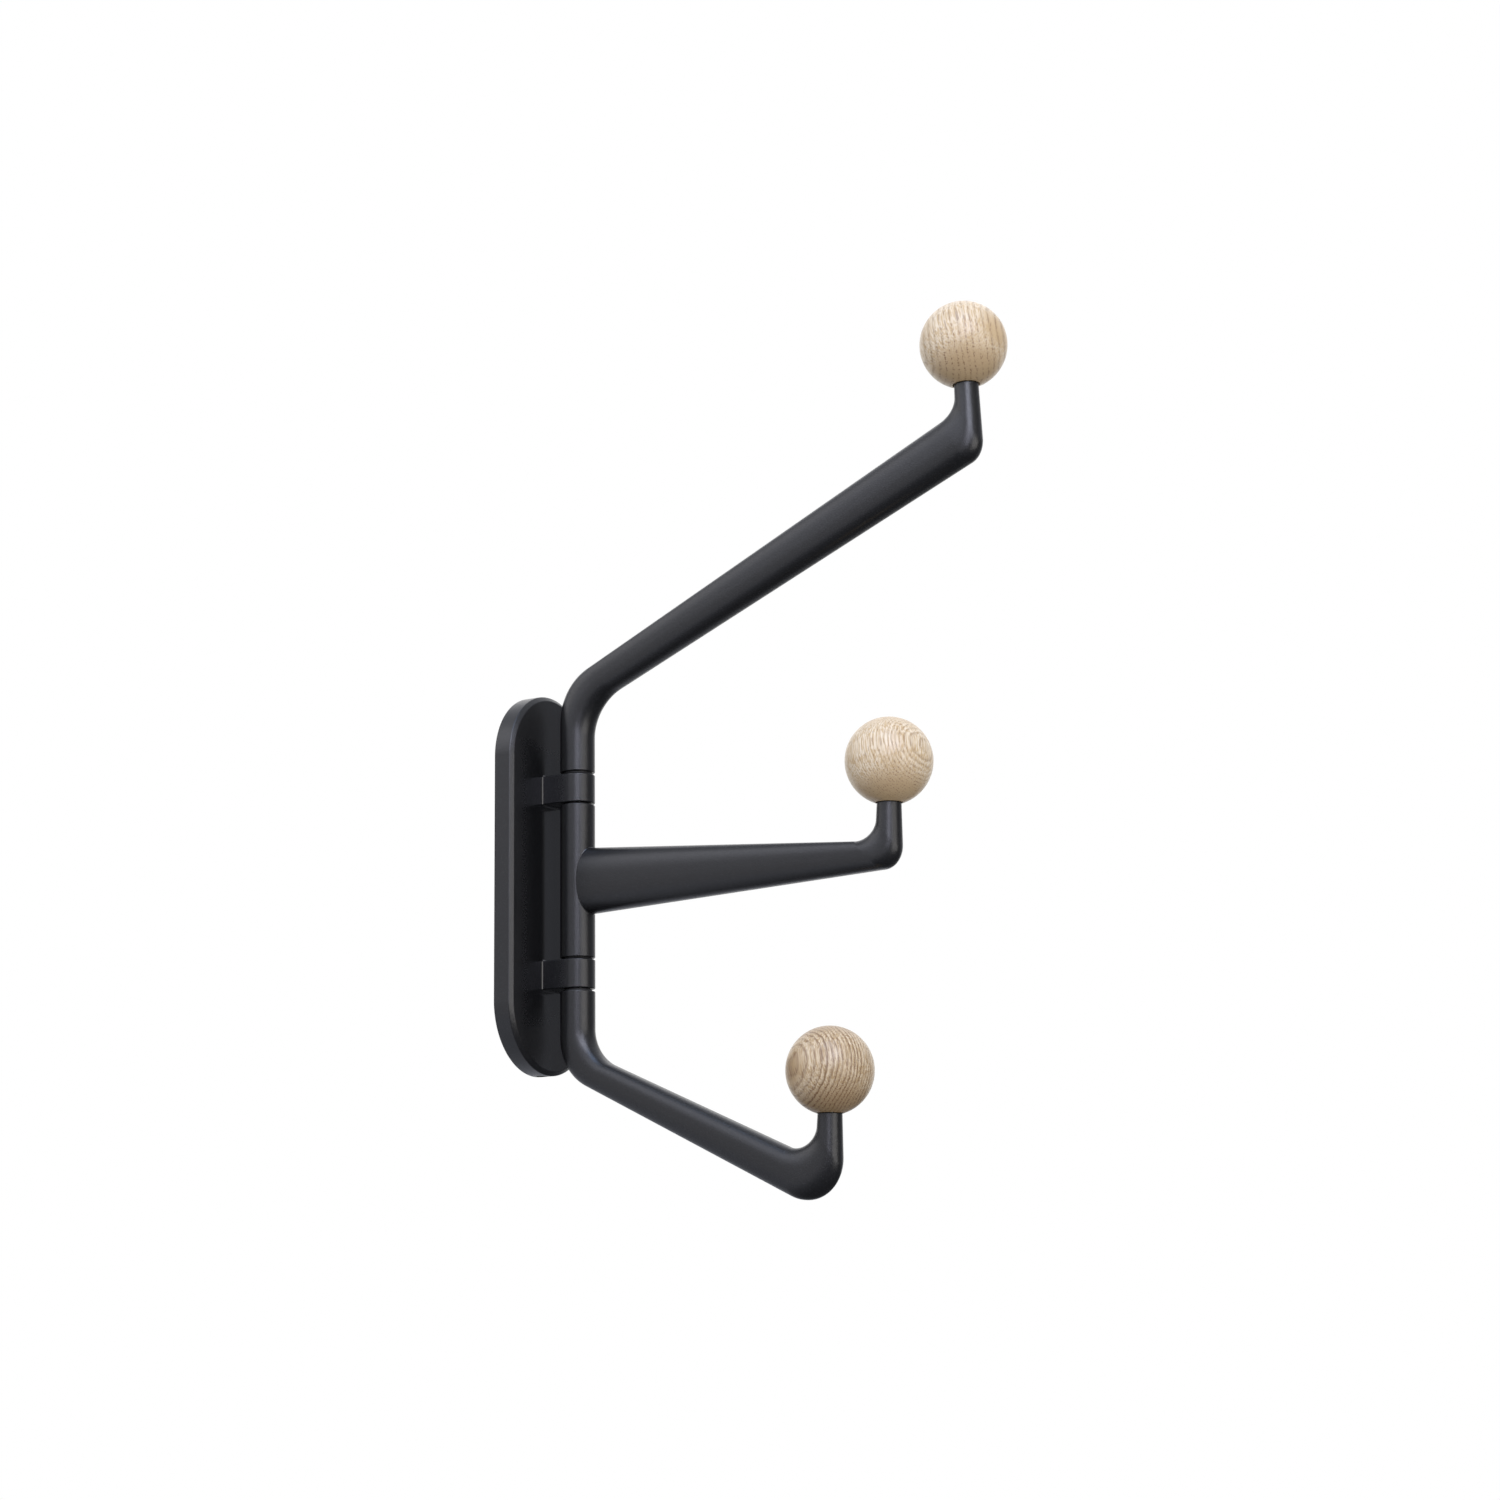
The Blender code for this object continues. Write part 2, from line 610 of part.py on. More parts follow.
def bush(name, pivot, mouth, inward, gap):
    """Flanged bush in the mouth of an arm, its flange filling the gap of the hinge."""
    flange_out = FIT_GAP - gap
    flange_in = FLANGE_SEAT_DEPTH - FIT_GAP
    end = FLANGE_SEAT_DEPTH + BUSH_LENGTH
    section = [
        (PIN_BORE_RADIUS, flange_out),
        (FLANGE_RADIUS, flange_out),
        (FLANGE_RADIUS, flange_in),
        (BUSH_RADIUS, flange_in),
        (BUSH_RADIUS, end),
        (PIN_BORE_RADIUS, end),
    ]
    profile = [(radius, mouth + inward * depth) for radius, depth in section]
    add_object(name, turned(profile, TUBE_SIDES, bored=True), black_acetal(), parent=pivot)


def grub_screw(name, pivot, inward):
    """Dog-point screw in the back of a tube, its point in the pin's groove."""
    tip = GROOVE_RADIUS + FIT_GAP
    end = TUBE_RADIUS - GRUB_RECESS
    profile = [
        (0, tip),
        (GRUB_POINT_DIAMETER / 2, tip),
        (GRUB_POINT_DIAMETER / 2, PIN_BORE_RADIUS),
        (GRUB_DIAMETER / 2, PIN_BORE_RADIUS),
        (GRUB_DIAMETER / 2, end),
        (0, end),
    ]
    place = grub_place(inward)
    screw = add_object(name, turned(profile, SMALL_SIDES), blackened_steel(), pivot, place)
    add_socket(screw, name, end, place, pivot)


def ball(name, pivot, place):
    """Turned ball with a flat seat and a blind bore for its insert."""
    bore_radius = INSERT_DIAMETER / 2 + FIT_GAP
    bore_end = INSERT_RECESS + INSERT_LENGTH + BLIND_END_ROOM - BALL_SEAT_LEVEL
    rim = math.asin(BALL_SEAT_RADIUS / BALL_RADIUS) - math.pi / 2
    profile = [
        (0, bore_end),
        (bore_radius, bore_end),
        (bore_radius, -BALL_SEAT_LEVEL),
        (BALL_SEAT_RADIUS, -BALL_SEAT_LEVEL),
    ]
    surface = arc(Vector((0, 0)), BALL_RADIUS, rim, math.pi / 2, BALL_ARC_STEPS)
    profile += [(point.x, point.y) for point in surface[:-1]]
    profile.append((0, BALL_RADIUS))
    add_object(name, turned(profile, BALL_SIDES), lacquered_oak(), pivot, place)


def ball_insert(name, pivot, place):
    """Brass insert pressed in the ball, with a groove round its middle."""
    bottom = INSERT_RECESS - BALL_SEAT_LEVEL
    middle = bottom + INSERT_LENGTH / 2
    radius = INSERT_DIAMETER / 2
    half_groove = INSERT_GROOVE_WIDTH / 2
    section = [
        (STUD_BORE_RADIUS, bottom),
        (radius, bottom),
        (radius, middle - half_groove),
        (radius - INSERT_GROOVE_DEPTH, middle - half_groove),
        (radius - INSERT_GROOVE_DEPTH, middle + half_groove),
        (radius, middle + half_groove),
        (radius, bottom + INSERT_LENGTH),
        (STUD_BORE_RADIUS, bottom + INSERT_LENGTH),
    ]
    add_object(name, turned(section, SMALL_SIDES, bored=True), turned_brass(), pivot, place)


def ball_stud(name, pivot, place):
    """Steel stud, one end in the stub and the other in the insert."""
    start = -STUB_TIP_LEVEL - STUD_IN_STUB
    end = STUD_IN_BALL - STUB_TIP_LEVEL
    profile = [
        (0, start),
        (STUD_RADIUS - STUD_END_CHAMFER, start),
        (STUD_RADIUS, start + STUD_END_CHAMFER),
        (STUD_RADIUS, end - STUD_END_CHAMFER),
        (STUD_RADIUS - STUD_END_CHAMFER, end),
        (0, end),
    ]
    add_object(name, turned(profile, SMALL_SIDES), zinc_plated_steel(), pivot, place)


def fit_ball(name, arm, shape):
    """Drill an arm's stub and fit its ball, insert and stud."""
    drill_stub(arm, name + "_arm", shape)
    place = ball_place(shape)
    ball(name + "_ball", arm.parent, place)
    ball_insert(name + "_ball_insert", arm.parent, place)
    ball_stud(name + "_ball_stud", arm.parent, place)


def upper_arm():
    """Arm that stands on the upper lug and climbs outwards."""
    pivot = add_pivot("upper_arm_pivot")
    shape = arm_shape(UPPER_BALL_REACH, UPPER_BALL_HEIGHT, UPPER_STUB_OFFSET, UPPER_CROOK_DROP,
                      UPPER_CROOK_RADIUS, UPPER_NOSE_DROP, UPPER_NOSE_RADIUS)
    skin = bent_arm(shape, TUBE_START, -1, UPPER_TOP_BEND_HEIGHT, UPPER_TOP_BEND_RADIUS,
                    UPPER_UNDER_BEND_HEIGHT, UPPER_UNDER_BEND_RADIUS)
    arm = add_object("upper_arm", skin, anthracite_coat(), pivot)
    bore_tube(arm, "upper_arm", TUBE_START, 1)
    bush("upper_arm_bush", pivot, TUBE_START, 1, ARM_GAP)
    grub_screw("upper_arm_grub_screw", pivot, 1)
    fit_ball("upper", arm, shape)


def middle_arm():
    """Arm whose hub fills the space between the lugs, with a bar that tapers outwards."""
    pivot = add_pivot("middle_arm_pivot")
    hub = skinned([
        tube_ring(TUBE_RADIUS - TUBE_EDGE_ROUND, -HUB_END),
        tube_ring(TUBE_RADIUS, TUBE_EDGE_ROUND - HUB_END),
        tube_ring(TUBE_RADIUS, HUB_END - TUBE_EDGE_ROUND),
        tube_ring(TUBE_RADIUS - TUBE_EDGE_ROUND, HUB_END),
    ])
    arm = add_object("middle_arm", hub, anthracite_coat(), pivot)
    shape = arm_shape(MIDDLE_BALL_REACH, MIDDLE_BALL_HEIGHT, MIDDLE_STUB_OFFSET, MIDDLE_CROOK_DROP,
                      MIDDLE_CROOK_RADIUS, MIDDLE_NOSE_DROP, MIDDLE_NOSE_RADIUS)
    top_root = Vector((0, MIDDLE_BAR_TOP_HEIGHT))
    under_root = Vector((0, -MIDDLE_BAR_UNDER_DROP))
    rings = [section_ring(top_root, under_root, BAR_THICKNESS, BAR_EXPONENT)]
    bar = skinned(rings + elbow_rings(shape, top_root, under_root))
    combine(arm, add_object("middle_bar_form", bar, parent=pivot), "UNION")
    profile = [(0, -HUB_END - OVERRUN), *bore_steps(-HUB_END, 1), *reversed(bore_steps(HUB_END, -1)),
               (0, HUB_END + OVERRUN)]
    combine(arm, add_object("hub_bore_cutter", turned(profile, TUBE_SIDES), parent=pivot), "DIFFERENCE")
    bush("middle_arm_top_bush", pivot, HUB_END, -1, HUB_GAP)
    bush("middle_arm_bottom_bush", pivot, -HUB_END, 1, HUB_GAP)
    fit_ball("middle", arm, shape)


def lower_arm():
    """Arm that hangs below the lower lug and falls outwards."""
    pivot = add_pivot("lower_arm_pivot")
    shape = arm_shape(LOWER_BALL_REACH, -LOWER_BALL_DROP, LOWER_STUB_OFFSET, LOWER_CROOK_DROP,
                      LOWER_CROOK_RADIUS, LOWER_NOSE_DROP, LOWER_NOSE_RADIUS)
    skin = bent_arm(shape, -TUBE_START, 1, -LOWER_TOP_BEND_DROP, LOWER_TOP_BEND_RADIUS,
                    -LOWER_UNDER_BEND_DROP, LOWER_UNDER_BEND_RADIUS)
    arm = add_object("lower_arm", skin, anthracite_coat(), pivot)
    bore_tube(arm, "lower_arm", -TUBE_START, -1)
    bush("lower_arm_bush", pivot, -TUBE_START, -1, ARM_GAP)
    grub_screw("lower_arm_grub_screw", pivot, -1)
    fit_ball("lower", arm, shape)


clear_scene()
wall_bracket()
wall_plate()
locking_screw()
hinge_pin()
middle_arm()
upper_arm()
lower_arm()
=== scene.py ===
import json
import math

import bmesh
import bpy
from mathutils import Matrix, Vector


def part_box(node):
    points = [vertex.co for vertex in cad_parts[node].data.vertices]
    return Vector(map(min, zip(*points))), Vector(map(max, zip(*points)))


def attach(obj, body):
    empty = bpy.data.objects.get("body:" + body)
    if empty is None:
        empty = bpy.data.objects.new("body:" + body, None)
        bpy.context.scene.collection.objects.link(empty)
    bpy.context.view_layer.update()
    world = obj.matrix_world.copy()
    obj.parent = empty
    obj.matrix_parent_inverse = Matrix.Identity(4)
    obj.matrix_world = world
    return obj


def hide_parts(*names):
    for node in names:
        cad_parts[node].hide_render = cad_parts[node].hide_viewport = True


# A wall hook with three arms that swing on one upright pin, each ending in an oak ball.
# Metres, in the frame of the CAD: the wall is the plane Y = 0, the hook stands out towards
# -Y, and a reach is measured outwards from the hinge axis.
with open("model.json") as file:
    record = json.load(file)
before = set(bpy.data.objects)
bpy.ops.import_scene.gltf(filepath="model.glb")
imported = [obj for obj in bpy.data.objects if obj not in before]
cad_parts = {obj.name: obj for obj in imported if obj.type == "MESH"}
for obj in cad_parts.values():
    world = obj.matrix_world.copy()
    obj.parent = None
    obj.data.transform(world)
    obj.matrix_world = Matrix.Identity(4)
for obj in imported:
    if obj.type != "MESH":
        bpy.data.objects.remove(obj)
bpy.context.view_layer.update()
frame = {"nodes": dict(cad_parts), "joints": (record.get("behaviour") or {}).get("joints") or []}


# Wall bracket. A strap of 2 mm sheet steel, pressed into a joggle that holds its tongue off
# the wall and a foot for the locking screw to press on. It is screwed to the wall through
# two holes, and zinc-plated after pressing.
STRAP_THICKNESS = 0.0020
STRAP_STEP = 0.0026
STRAP_TONGUE_HEIGHT = 0.0070
STRAP_BEND_RADIUS = 0.0006
STRAP_JOGGLE_TURN = math.radians(45)
STRAP_FOOT_TURN = math.radians(90)
STRAP_BEND_SEGMENTS = 8
STRAP_EDGE_ROUND = 0.0002
STRAP_HOLE_DIAMETER = 0.0050
STRAP_HOLE_SPACING = 0.0800
STRAP_HOLE_SIDES = 48
CUT_OVERRUN = 0.0010
WELD_DISTANCE = 0.000001
ANGLE_TOLERANCE = 0.001
SHARP_ANGLE = math.radians(35)
SQUARE_ANGLE = math.radians(60)
EDGE_SEGMENTS = 2
NOISE_SPREAD = (0.3, 0.7)
ZINC_COLOUR = (0.60, 0.61, 0.63)
ZINC_SHADE = (0.46, 0.48, 0.52)
ZINC_ROUGHNESS = (0.24, 0.42)
ZINC_SPANGLE_SCALE = 420
ZINC_DRAW_SCALES = (2600, 2600, 160)
ZINC_DRAW_RELIEF = 0.000012


def started_finish(name, colour, roughness, metallic=0.0):
    """A Principled finish, its shader, and the Object coordinates that its patterns read."""
    finish = bpy.data.materials.new(name)
    finish.use_nodes = True
    finish.diffuse_color = (*colour, 1.0)
    nodes = finish.node_tree.nodes
    shader = nodes["Principled BSDF"]
    shader.inputs["Base Color"].default_value = (*colour, 1.0)
    shader.inputs["Roughness"].default_value = roughness
    shader.inputs["Metallic"].default_value = metallic
    return finish, shader, nodes.new("ShaderNodeTexCoord").outputs["Object"]


def fed_node(finish, kind, inputs, **settings):
    """A node with its settings made, and its inputs linked to sockets or set to values."""
    node = finish.node_tree.nodes.new(kind)
    for name, setting in settings.items():
        setattr(node, name, setting)
    for name, source in inputs.items():
        if isinstance(source, bpy.types.NodeSocket):
            finish.node_tree.links.new(source, node.inputs[name])
        else:
            node.inputs[name].default_value = source
    return node


def noise(finish, where, scale=1.0, detail=2.0, distortion=0.0):
    """Fractal noise from 0 to 1, with its scale in grains to the metre."""
    inputs = {"Vector": where, "Scale": scale, "Detail": detail, "Distortion": distortion}
    return fed_node(finish, "ShaderNodeTexNoise", inputs).outputs[0]


def remapped(finish, source, given=(0.0, 1.0), wanted=(0.0, 1.0)):
    """A value eased from one range to another and held inside it."""
    inputs = {"Value": source, "From Min": given[0], "From Max": given[1],
              "To Min": wanted[0], "To Max": wanted[1]}
    return fed_node(finish, "ShaderNodeMapRange", inputs, interpolation_type="SMOOTHSTEP").outputs[0]


def stretched(finish, where, scales):
    """Coordinates with a scale of their own along each axis."""
    inputs = {0: where, 1: scales}
    return fed_node(finish, "ShaderNodeVectorMath", inputs, operation="MULTIPLY").outputs[0]


def figured(finish, operation, first, second=0.0):
    """A number worked out from one or two others."""
    return fed_node(finish, "ShaderNodeMath", {0: first, 1: second}, operation=operation).outputs[0]


def blended(finish, share, first, second):
    """A colour between two others, each a socket or a plain colour."""
    inputs = {0: share}
    for place, colour in ((6, first), (7, second)):
        inputs[place] = colour if isinstance(colour, bpy.types.NodeSocket) else (*colour, 1.0)
    return fed_node(finish, "ShaderNodeMix", inputs, data_type="RGBA").outputs[2]


def connect(finish, source, shader, name):
    """Link a socket to one of the shader's inputs."""
    finish.node_tree.links.new(source, shader.inputs[name])


def relief(finish, shader, height, depth):
    """Bump whose height, from 0 to 1, spans a depth in metres."""
    inputs = {"Height": height, "Distance": depth, "Strength": 1.0}
    connect(finish, fed_node(finish, "ShaderNodeBump", inputs).outputs[0], shader, "Normal")


def zinc_plating():
    """Bright zinc with a faint spangle, over steel with fine drawing lines."""
    finish, shader, where = started_finish("bright_zinc", ZINC_COLOUR, ZINC_ROUGHNESS[0], 1.0)
    spangle = noise(finish, where, ZINC_SPANGLE_SCALE, detail=3.0, distortion=0.6)
    lines = noise(finish, stretched(finish, where, ZINC_DRAW_SCALES))
    connect(finish, blended(finish, spangle, ZINC_SHADE, ZINC_COLOUR), shader, "Base Color")
    connect(finish, remapped(finish, spangle, NOISE_SPREAD, ZINC_ROUGHNESS), shader, "Roughness")
    relief(finish, shader, lines, ZINC_DRAW_RELIEF)
    return finish


def turned(profile, sides, place=None, bored=False):
    """A profile of (radius, height) points turned about Z. A bored one closes on itself."""
    bm = bmesh.new()
    verts = [bm.verts.new((radius, 0, height)) for radius, height in profile]
    edges = [bm.edges.new(pair) for pair in zip(verts, verts[1:])]
    if bored:
        edges.append(bm.edges.new((verts[-1], verts[0])))
    bmesh.ops.spin(bm, geom=verts + edges, cent=(0, 0, 0), axis=(0, 0, 1), angle=math.tau,
                   steps=sides, use_merge=True)
    bmesh.ops.remove_doubles(bm, verts=bm.verts, dist=WELD_DISTANCE)
    bmesh.ops.recalc_face_normals(bm, faces=bm.faces)
    if place:
        bmesh.ops.transform(bm, matrix=place, verts=bm.verts)
    return bm


def rod(radius, start, end, sides, place=None):
    """A plain round rod along Z."""
    return turned([(0, start), (radius, start), (radius, end), (0, end)], sides, place)


def machined(bm, tool, operation="DIFFERENCE"):
    """The bmesh cut by a tool, or joined to it. Both are used up."""
    helpers = []
    for name, form in (("blank", bm), ("tool", tool)):
        mesh = bpy.data.meshes.new(name)
        form.to_mesh(mesh)
        form.free()
        helpers.append(bpy.data.objects.new(name, mesh))
        bpy.context.collection.objects.link(helpers[-1])
    blank, cutter = helpers
    modifier = blank.modifiers.new("work", "BOOLEAN")
    modifier.operation = operation
    modifier.solver = "EXACT"
    modifier.object = cutter
    evaluated = blank.evaluated_get(bpy.context.evaluated_depsgraph_get())
    result = bmesh.new()
    result.from_mesh(evaluated.to_mesh())
    evaluated.to_mesh_clear()
    for helper in helpers:
        bpy.data.meshes.remove(helper.data, do_unlink=True)
    bmesh.ops.remove_doubles(result, verts=result.verts, dist=WELD_DISTANCE)
    return result


def pushed(bm, face, direction):
    """Extrude one face along a vector and return the face that moved."""
    swept = bmesh.ops.extrude_face_region(bm, geom=[face])["geom"]
    moved = [item for item in swept if isinstance(item, bmesh.types.BMVert)]
    bmesh.ops.translate(bm, vec=direction, verts=moved)
    return next(item for item in swept if isinstance(item, bmesh.types.BMFace))


def rounded(bm, width, segments, chosen):
    """Round off the edges that the test chooses and return the new faces."""
    edges = [edge for edge in bm.edges if chosen(edge)]
    return bmesh.ops.bevel(bm, geom=edges, offset=width, offset_type="OFFSET", segments=segments,
                           profile=0.5, affect="EDGES", material=-1, clamp_overlap=False)["faces"]


def finished_piece(name, bm, finish, body, slot, *nodes):
    """Make a piece of a bmesh that rides on a body and stands for CAD nodes."""
    mesh = bpy.data.meshes.new(name)
    bm.to_mesh(mesh)
    bm.free()
    mesh.materials.append(finish)
    mesh.shade_smooth()
    mesh.set_sharp_from_angle(angle=SHARP_ANGLE)
    piece = bpy.data.objects.new(name, mesh)
    bpy.context.collection.objects.link(piece)
    weighted = piece.modifiers.new("weighted_normals", "WEIGHTED_NORMAL")
    weighted.keep_sharp = True
    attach(piece, body)
    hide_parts(*nodes)
    return piece


def pressed_strap():
    """The strap: its side view drawn out to its width, bent, punched and deburred."""
    low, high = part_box("wall_bracket")
    joggle_top = high.z - STRAP_TONGUE_HEIGHT
    joggle_foot = joggle_top - STRAP_STEP
    mitre = STRAP_THICKNESS * math.tan(STRAP_JOGGLE_TURN / 2)
    side_view = [
        (0, low.z),
        (0, joggle_foot),
        (-STRAP_STEP, joggle_top),
        (-STRAP_STEP, high.z),
        (-STRAP_STEP - STRAP_THICKNESS, high.z),
        (-STRAP_STEP - STRAP_THICKNESS, joggle_top - mitre),
        (-STRAP_THICKNESS, joggle_foot - mitre),
        (-STRAP_THICKNESS, low.z + STRAP_THICKNESS),
        (low.y, low.z + STRAP_THICKNESS),
        (low.y, low.z),
    ]
    bm = bmesh.new()
    outline = bm.faces.new([bm.verts.new((low.x, y, z)) for y, z in side_view])
    pushed(bm, outline, (high.x - low.x, 0, 0))
    bmesh.ops.recalc_face_normals(bm, faces=bm.faces)
    for turn in (STRAP_JOGGLE_TURN, STRAP_FOOT_TURN):
        for outside in (False, True):
            radius = STRAP_BEND_RADIUS + outside * STRAP_THICKNESS
            rounded(bm, radius * math.tan(turn / 2), STRAP_BEND_SEGMENTS,
                    lambda edge: edge.calc_length() > high.x and edge.is_convex == outside
                    and abs(edge.calc_face_angle(0) - turn) < ANGLE_TOLERANCE
                    and max(vert.co.z for vert in edge.verts) < high.z - WELD_DISTANCE
                    and min(vert.co.y for vert in edge.verts) > low.y + WELD_DISTANCE
                    and abs(edge.verts[0].co.x - edge.verts[1].co.x) > high.x)
    for side in (-1, 1):
        level = Matrix.Translation((0, 0, side * STRAP_HOLE_SPACING / 2))
        drill = rod(STRAP_HOLE_DIAMETER / 2, -CUT_OVERRUN, STRAP_THICKNESS + CUT_OVERRUN,
                    STRAP_HOLE_SIDES, level @ Matrix.Rotation(math.pi / 2, 4, "X"))
        bm = machined(bm, drill)
    rounded(bm, STRAP_EDGE_ROUND, EDGE_SEGMENTS, lambda edge: edge.calc_face_angle(0) > SQUARE_ANGLE)
    return bm


zinc = zinc_plating()
finished_piece("bracket_strap", pressed_strap(), zinc, "base", "zinc_plated_steel", "wall_bracket")


# Wall plate. A zinc die casting with half-round ends, a chamfered face and a hollow back,
# powder-coated in satin anthracite. Its two lugs carry the pin, a lip at the top of the
# hollow hangs behind the bracket's tongue, and a boss at its foot is tapped for a screw.
PLATE_THICKNESS = 0.0088
PLATE_CHAMFER_WIDTH = 0.0018
PLATE_CHAMFER_DEPTH = 0.0014
PLATE_SIDE_WALL = 0.0026
PLATE_FACE_WALL = 0.0024
PLATE_EDGE_ROUND = 0.0003
PLATE_RECESS_FILLET = 0.0008
PLATE_RECESS_SEGMENTS = 4
PLATE_RIM_STEPS = 160
TUBE_DIAMETER = 0.0145
TUBE_EDGE_ROUND = 0.0004
TUBE_EDGE_SEGMENTS = 3
HUB_GAP = 0.0008
LUG_HEIGHT = 0.0120
LUG_FILLET = 0.0004
LUG_FILLET_SEGMENTS = 1
LUG_STEPS = 64
PIN_DIAMETER = 0.0060
FIT_GAP = 0.0003
LIP_THICKNESS = 0.0020
LIP_HEIGHT = 0.0160
LIP_STEPS = 48
LOCK_SCREW_DIAMETER = 0.0040
LOCK_SCREW_WALL_DISTANCE = 0.0036
LOCK_BOSS_WIDTH = 0.0100
LOCK_BOSS_HEIGHT = 0.0035
LOCK_BOSS_WALL_DISTANCE = 0.0010
BORE_SIDES = 64
COAT_COLOUR = (0.0048, 0.0049, 0.0051)
# Paler specks in the coat's colour: painted sparkle, glints painted into the colour.
COAT_PAINTED_SPARKLE = (0.0240, 0.0240, 0.0248)
COAT_PAINTED_SPARKLE_RANGE = (0.60, 0.75)
COAT_ROUGHNESS = (0.29, 0.37)
COAT_PEEL_SCALE = 1500
COAT_GRAIN_SCALE = 3200
COAT_PEEL_SHARE = 0.6
COAT_RELIEF = 0.000070
COAT_POOLED_ROUGHNESS = 0.12

hinge = Vector(frame["joints"][0]["pos_m"])
hinge_place = Matrix.Translation(hinge)
TUBE_RADIUS = TUBE_DIAMETER / 2
HUB_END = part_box("middle_arm")[1].z
LUG_START = HUB_END + HUB_GAP
LUG_END = LUG_START + LUG_HEIGHT
RECESS_DEPTH = PLATE_THICKNESS - PLATE_FACE_WALL
plate_low, plate_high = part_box("wall_plate")


def powder_coat():
    """Satin anthracite powder coat: orange peel and fine grain with paler specks painted in as sparkle,
    smooth where it pooled in corners.
    """
    finish, shader, where = started_finish("satin_powder_coat", COAT_COLOUR, COAT_ROUGHNESS[0])
    peel = noise(finish, where, COAT_PEEL_SCALE)
    grain = noise(finish, where, COAT_GRAIN_SCALE, detail=1.0)
    # The paler specks are painted sparkle: glints of the highlights painted into the base colour.
    painted_sparkle = remapped(finish, grain, COAT_PAINTED_SPARKLE_RANGE)
    connect(finish, blended(finish, painted_sparkle, COAT_COLOUR, COAT_PAINTED_SPARKLE), shader, "Base Color")
    pooled = fed_node(finish, "ShaderNodeAttribute", {}, attribute_name="pooled").outputs["Fac"]
    inputs = {0: pooled, 2: remapped(finish, peel, NOISE_SPREAD, COAT_ROUGHNESS), 3: COAT_POOLED_ROUGHNESS}
    connect(finish, fed_node(finish, "ShaderNodeMix", inputs).outputs[0], shader, "Roughness")
    peel_height = figured(finish, "MULTIPLY", peel, COAT_PEEL_SHARE)
    grain_height = figured(finish, "MULTIPLY", grain, 1 - COAT_PEEL_SHARE)
    height = figured(finish, "ADD", peel_height, grain_height)
    open_share = figured(finish, "SUBTRACT", 1.0, pooled)
    relief(finish, shader, figured(finish, "MULTIPLY", height, open_share), COAT_RELIEF)
    return finish


def pool_coat(bm, verts):
    """Mark the vertices of a corner where the coat pools."""
    layer = bm.verts.layers.float.get("pooled")
    for vert in verts:
        vert[layer] = 1.0


def filled_outline(bm):
    """One face inside the outline that the bmesh's edges make."""
    return bmesh.ops.contextual_create(bm, geom=bm.edges[:])["faces"][0]


def plate_blank():
    """The plate: a disc drawn out to a long shape, raised, chamfered and hollowed."""
    half_step = math.pi / PLATE_RIM_STEPS
    radius = (plate_high.x - plate_low.x) / 2
    stretch = plate_high.z - radius
    upright = Matrix.Rotation(math.pi / 2, 4, "X") @ Matrix.Rotation(half_step, 4, "Z")
    bm = bmesh.new()
    bmesh.ops.create_circle(bm, cap_ends=True, radius=radius / math.cos(half_step),
                            segments=PLATE_RIM_STEPS, matrix=upright)
    for side in (-1, 1):
        half = [vert for vert in bm.verts if vert.co.z * side > 0]
        bmesh.ops.translate(bm, vec=(0, 0, side * stretch), verts=half)
    back = next(iter(bm.faces))
    front = pushed(bm, back, (0, PLATE_CHAMFER_DEPTH - PLATE_THICKNESS, 0))
    bmesh.ops.recalc_face_normals(bm, faces=bm.faces)
    bmesh.ops.inset_region(bm, faces=[front], thickness=PLATE_CHAMFER_WIDTH, depth=PLATE_CHAMFER_DEPTH,
                           use_even_offset=True)
    back = max(bm.faces, key=lambda face: face.calc_center_median().y)
    bmesh.ops.inset_region(bm, faces=[back], thickness=PLATE_SIDE_WALL, use_even_offset=True)
    pushed(bm, back, (0, -RECESS_DEPTH, 0))
    bmesh.ops.delete(bm, geom=[back], context="FACES_ONLY")
    bmesh.ops.recalc_face_normals(bm, faces=bm.faces)
    return bm


def corner_at(edge, level):
    """Whether an edge is a corner that lies at this distance from the wall."""
    lies = all(abs(vert.co.y + level) < WELD_DISTANCE for vert in edge.verts)
    return lies and edge.calc_face_angle(0) > SHARP_ANGLE / 2


def lug_blank(side):
    """A lug: straight cheeks from the plate and a half-round nose about the hinge."""
    root = -(PLATE_THICKNESS + RECESS_DEPTH) / 2
    level = min(side * LUG_START, side * LUG_END)
    bm = bmesh.new()
    heels = [bm.verts.new((end * TUBE_RADIUS, root, level)) for end in (-1, 1)]
    cheek = bm.verts.new((-TUBE_RADIUS, hinge.y, level))
    bm.edges.new((heels[0], cheek))
    nose = bmesh.ops.spin(bm, geom=[cheek], cent=(0, hinge.y, 0), axis=(0, 0, 1), angle=math.pi,
                          steps=LUG_STEPS)["geom_last"][0]
    bm.edges.new((nose, heels[1]))
    bm.edges.new((heels[1], heels[0]))
    pushed(bm, filled_outline(bm), (0, 0, LUG_HEIGHT))
    bmesh.ops.recalc_face_normals(bm, faces=bm.faces)
    rounded(bm, TUBE_EDGE_ROUND, TUBE_EDGE_SEGMENTS,
            lambda edge: abs(edge.verts[0].co.z - edge.verts[1].co.z) < WELD_DISTANCE
            and min(vert.co.y for vert in edge.verts) < root - WELD_DISTANCE
            and edge.calc_face_angle(0) > SHARP_ANGLE)
    return bm


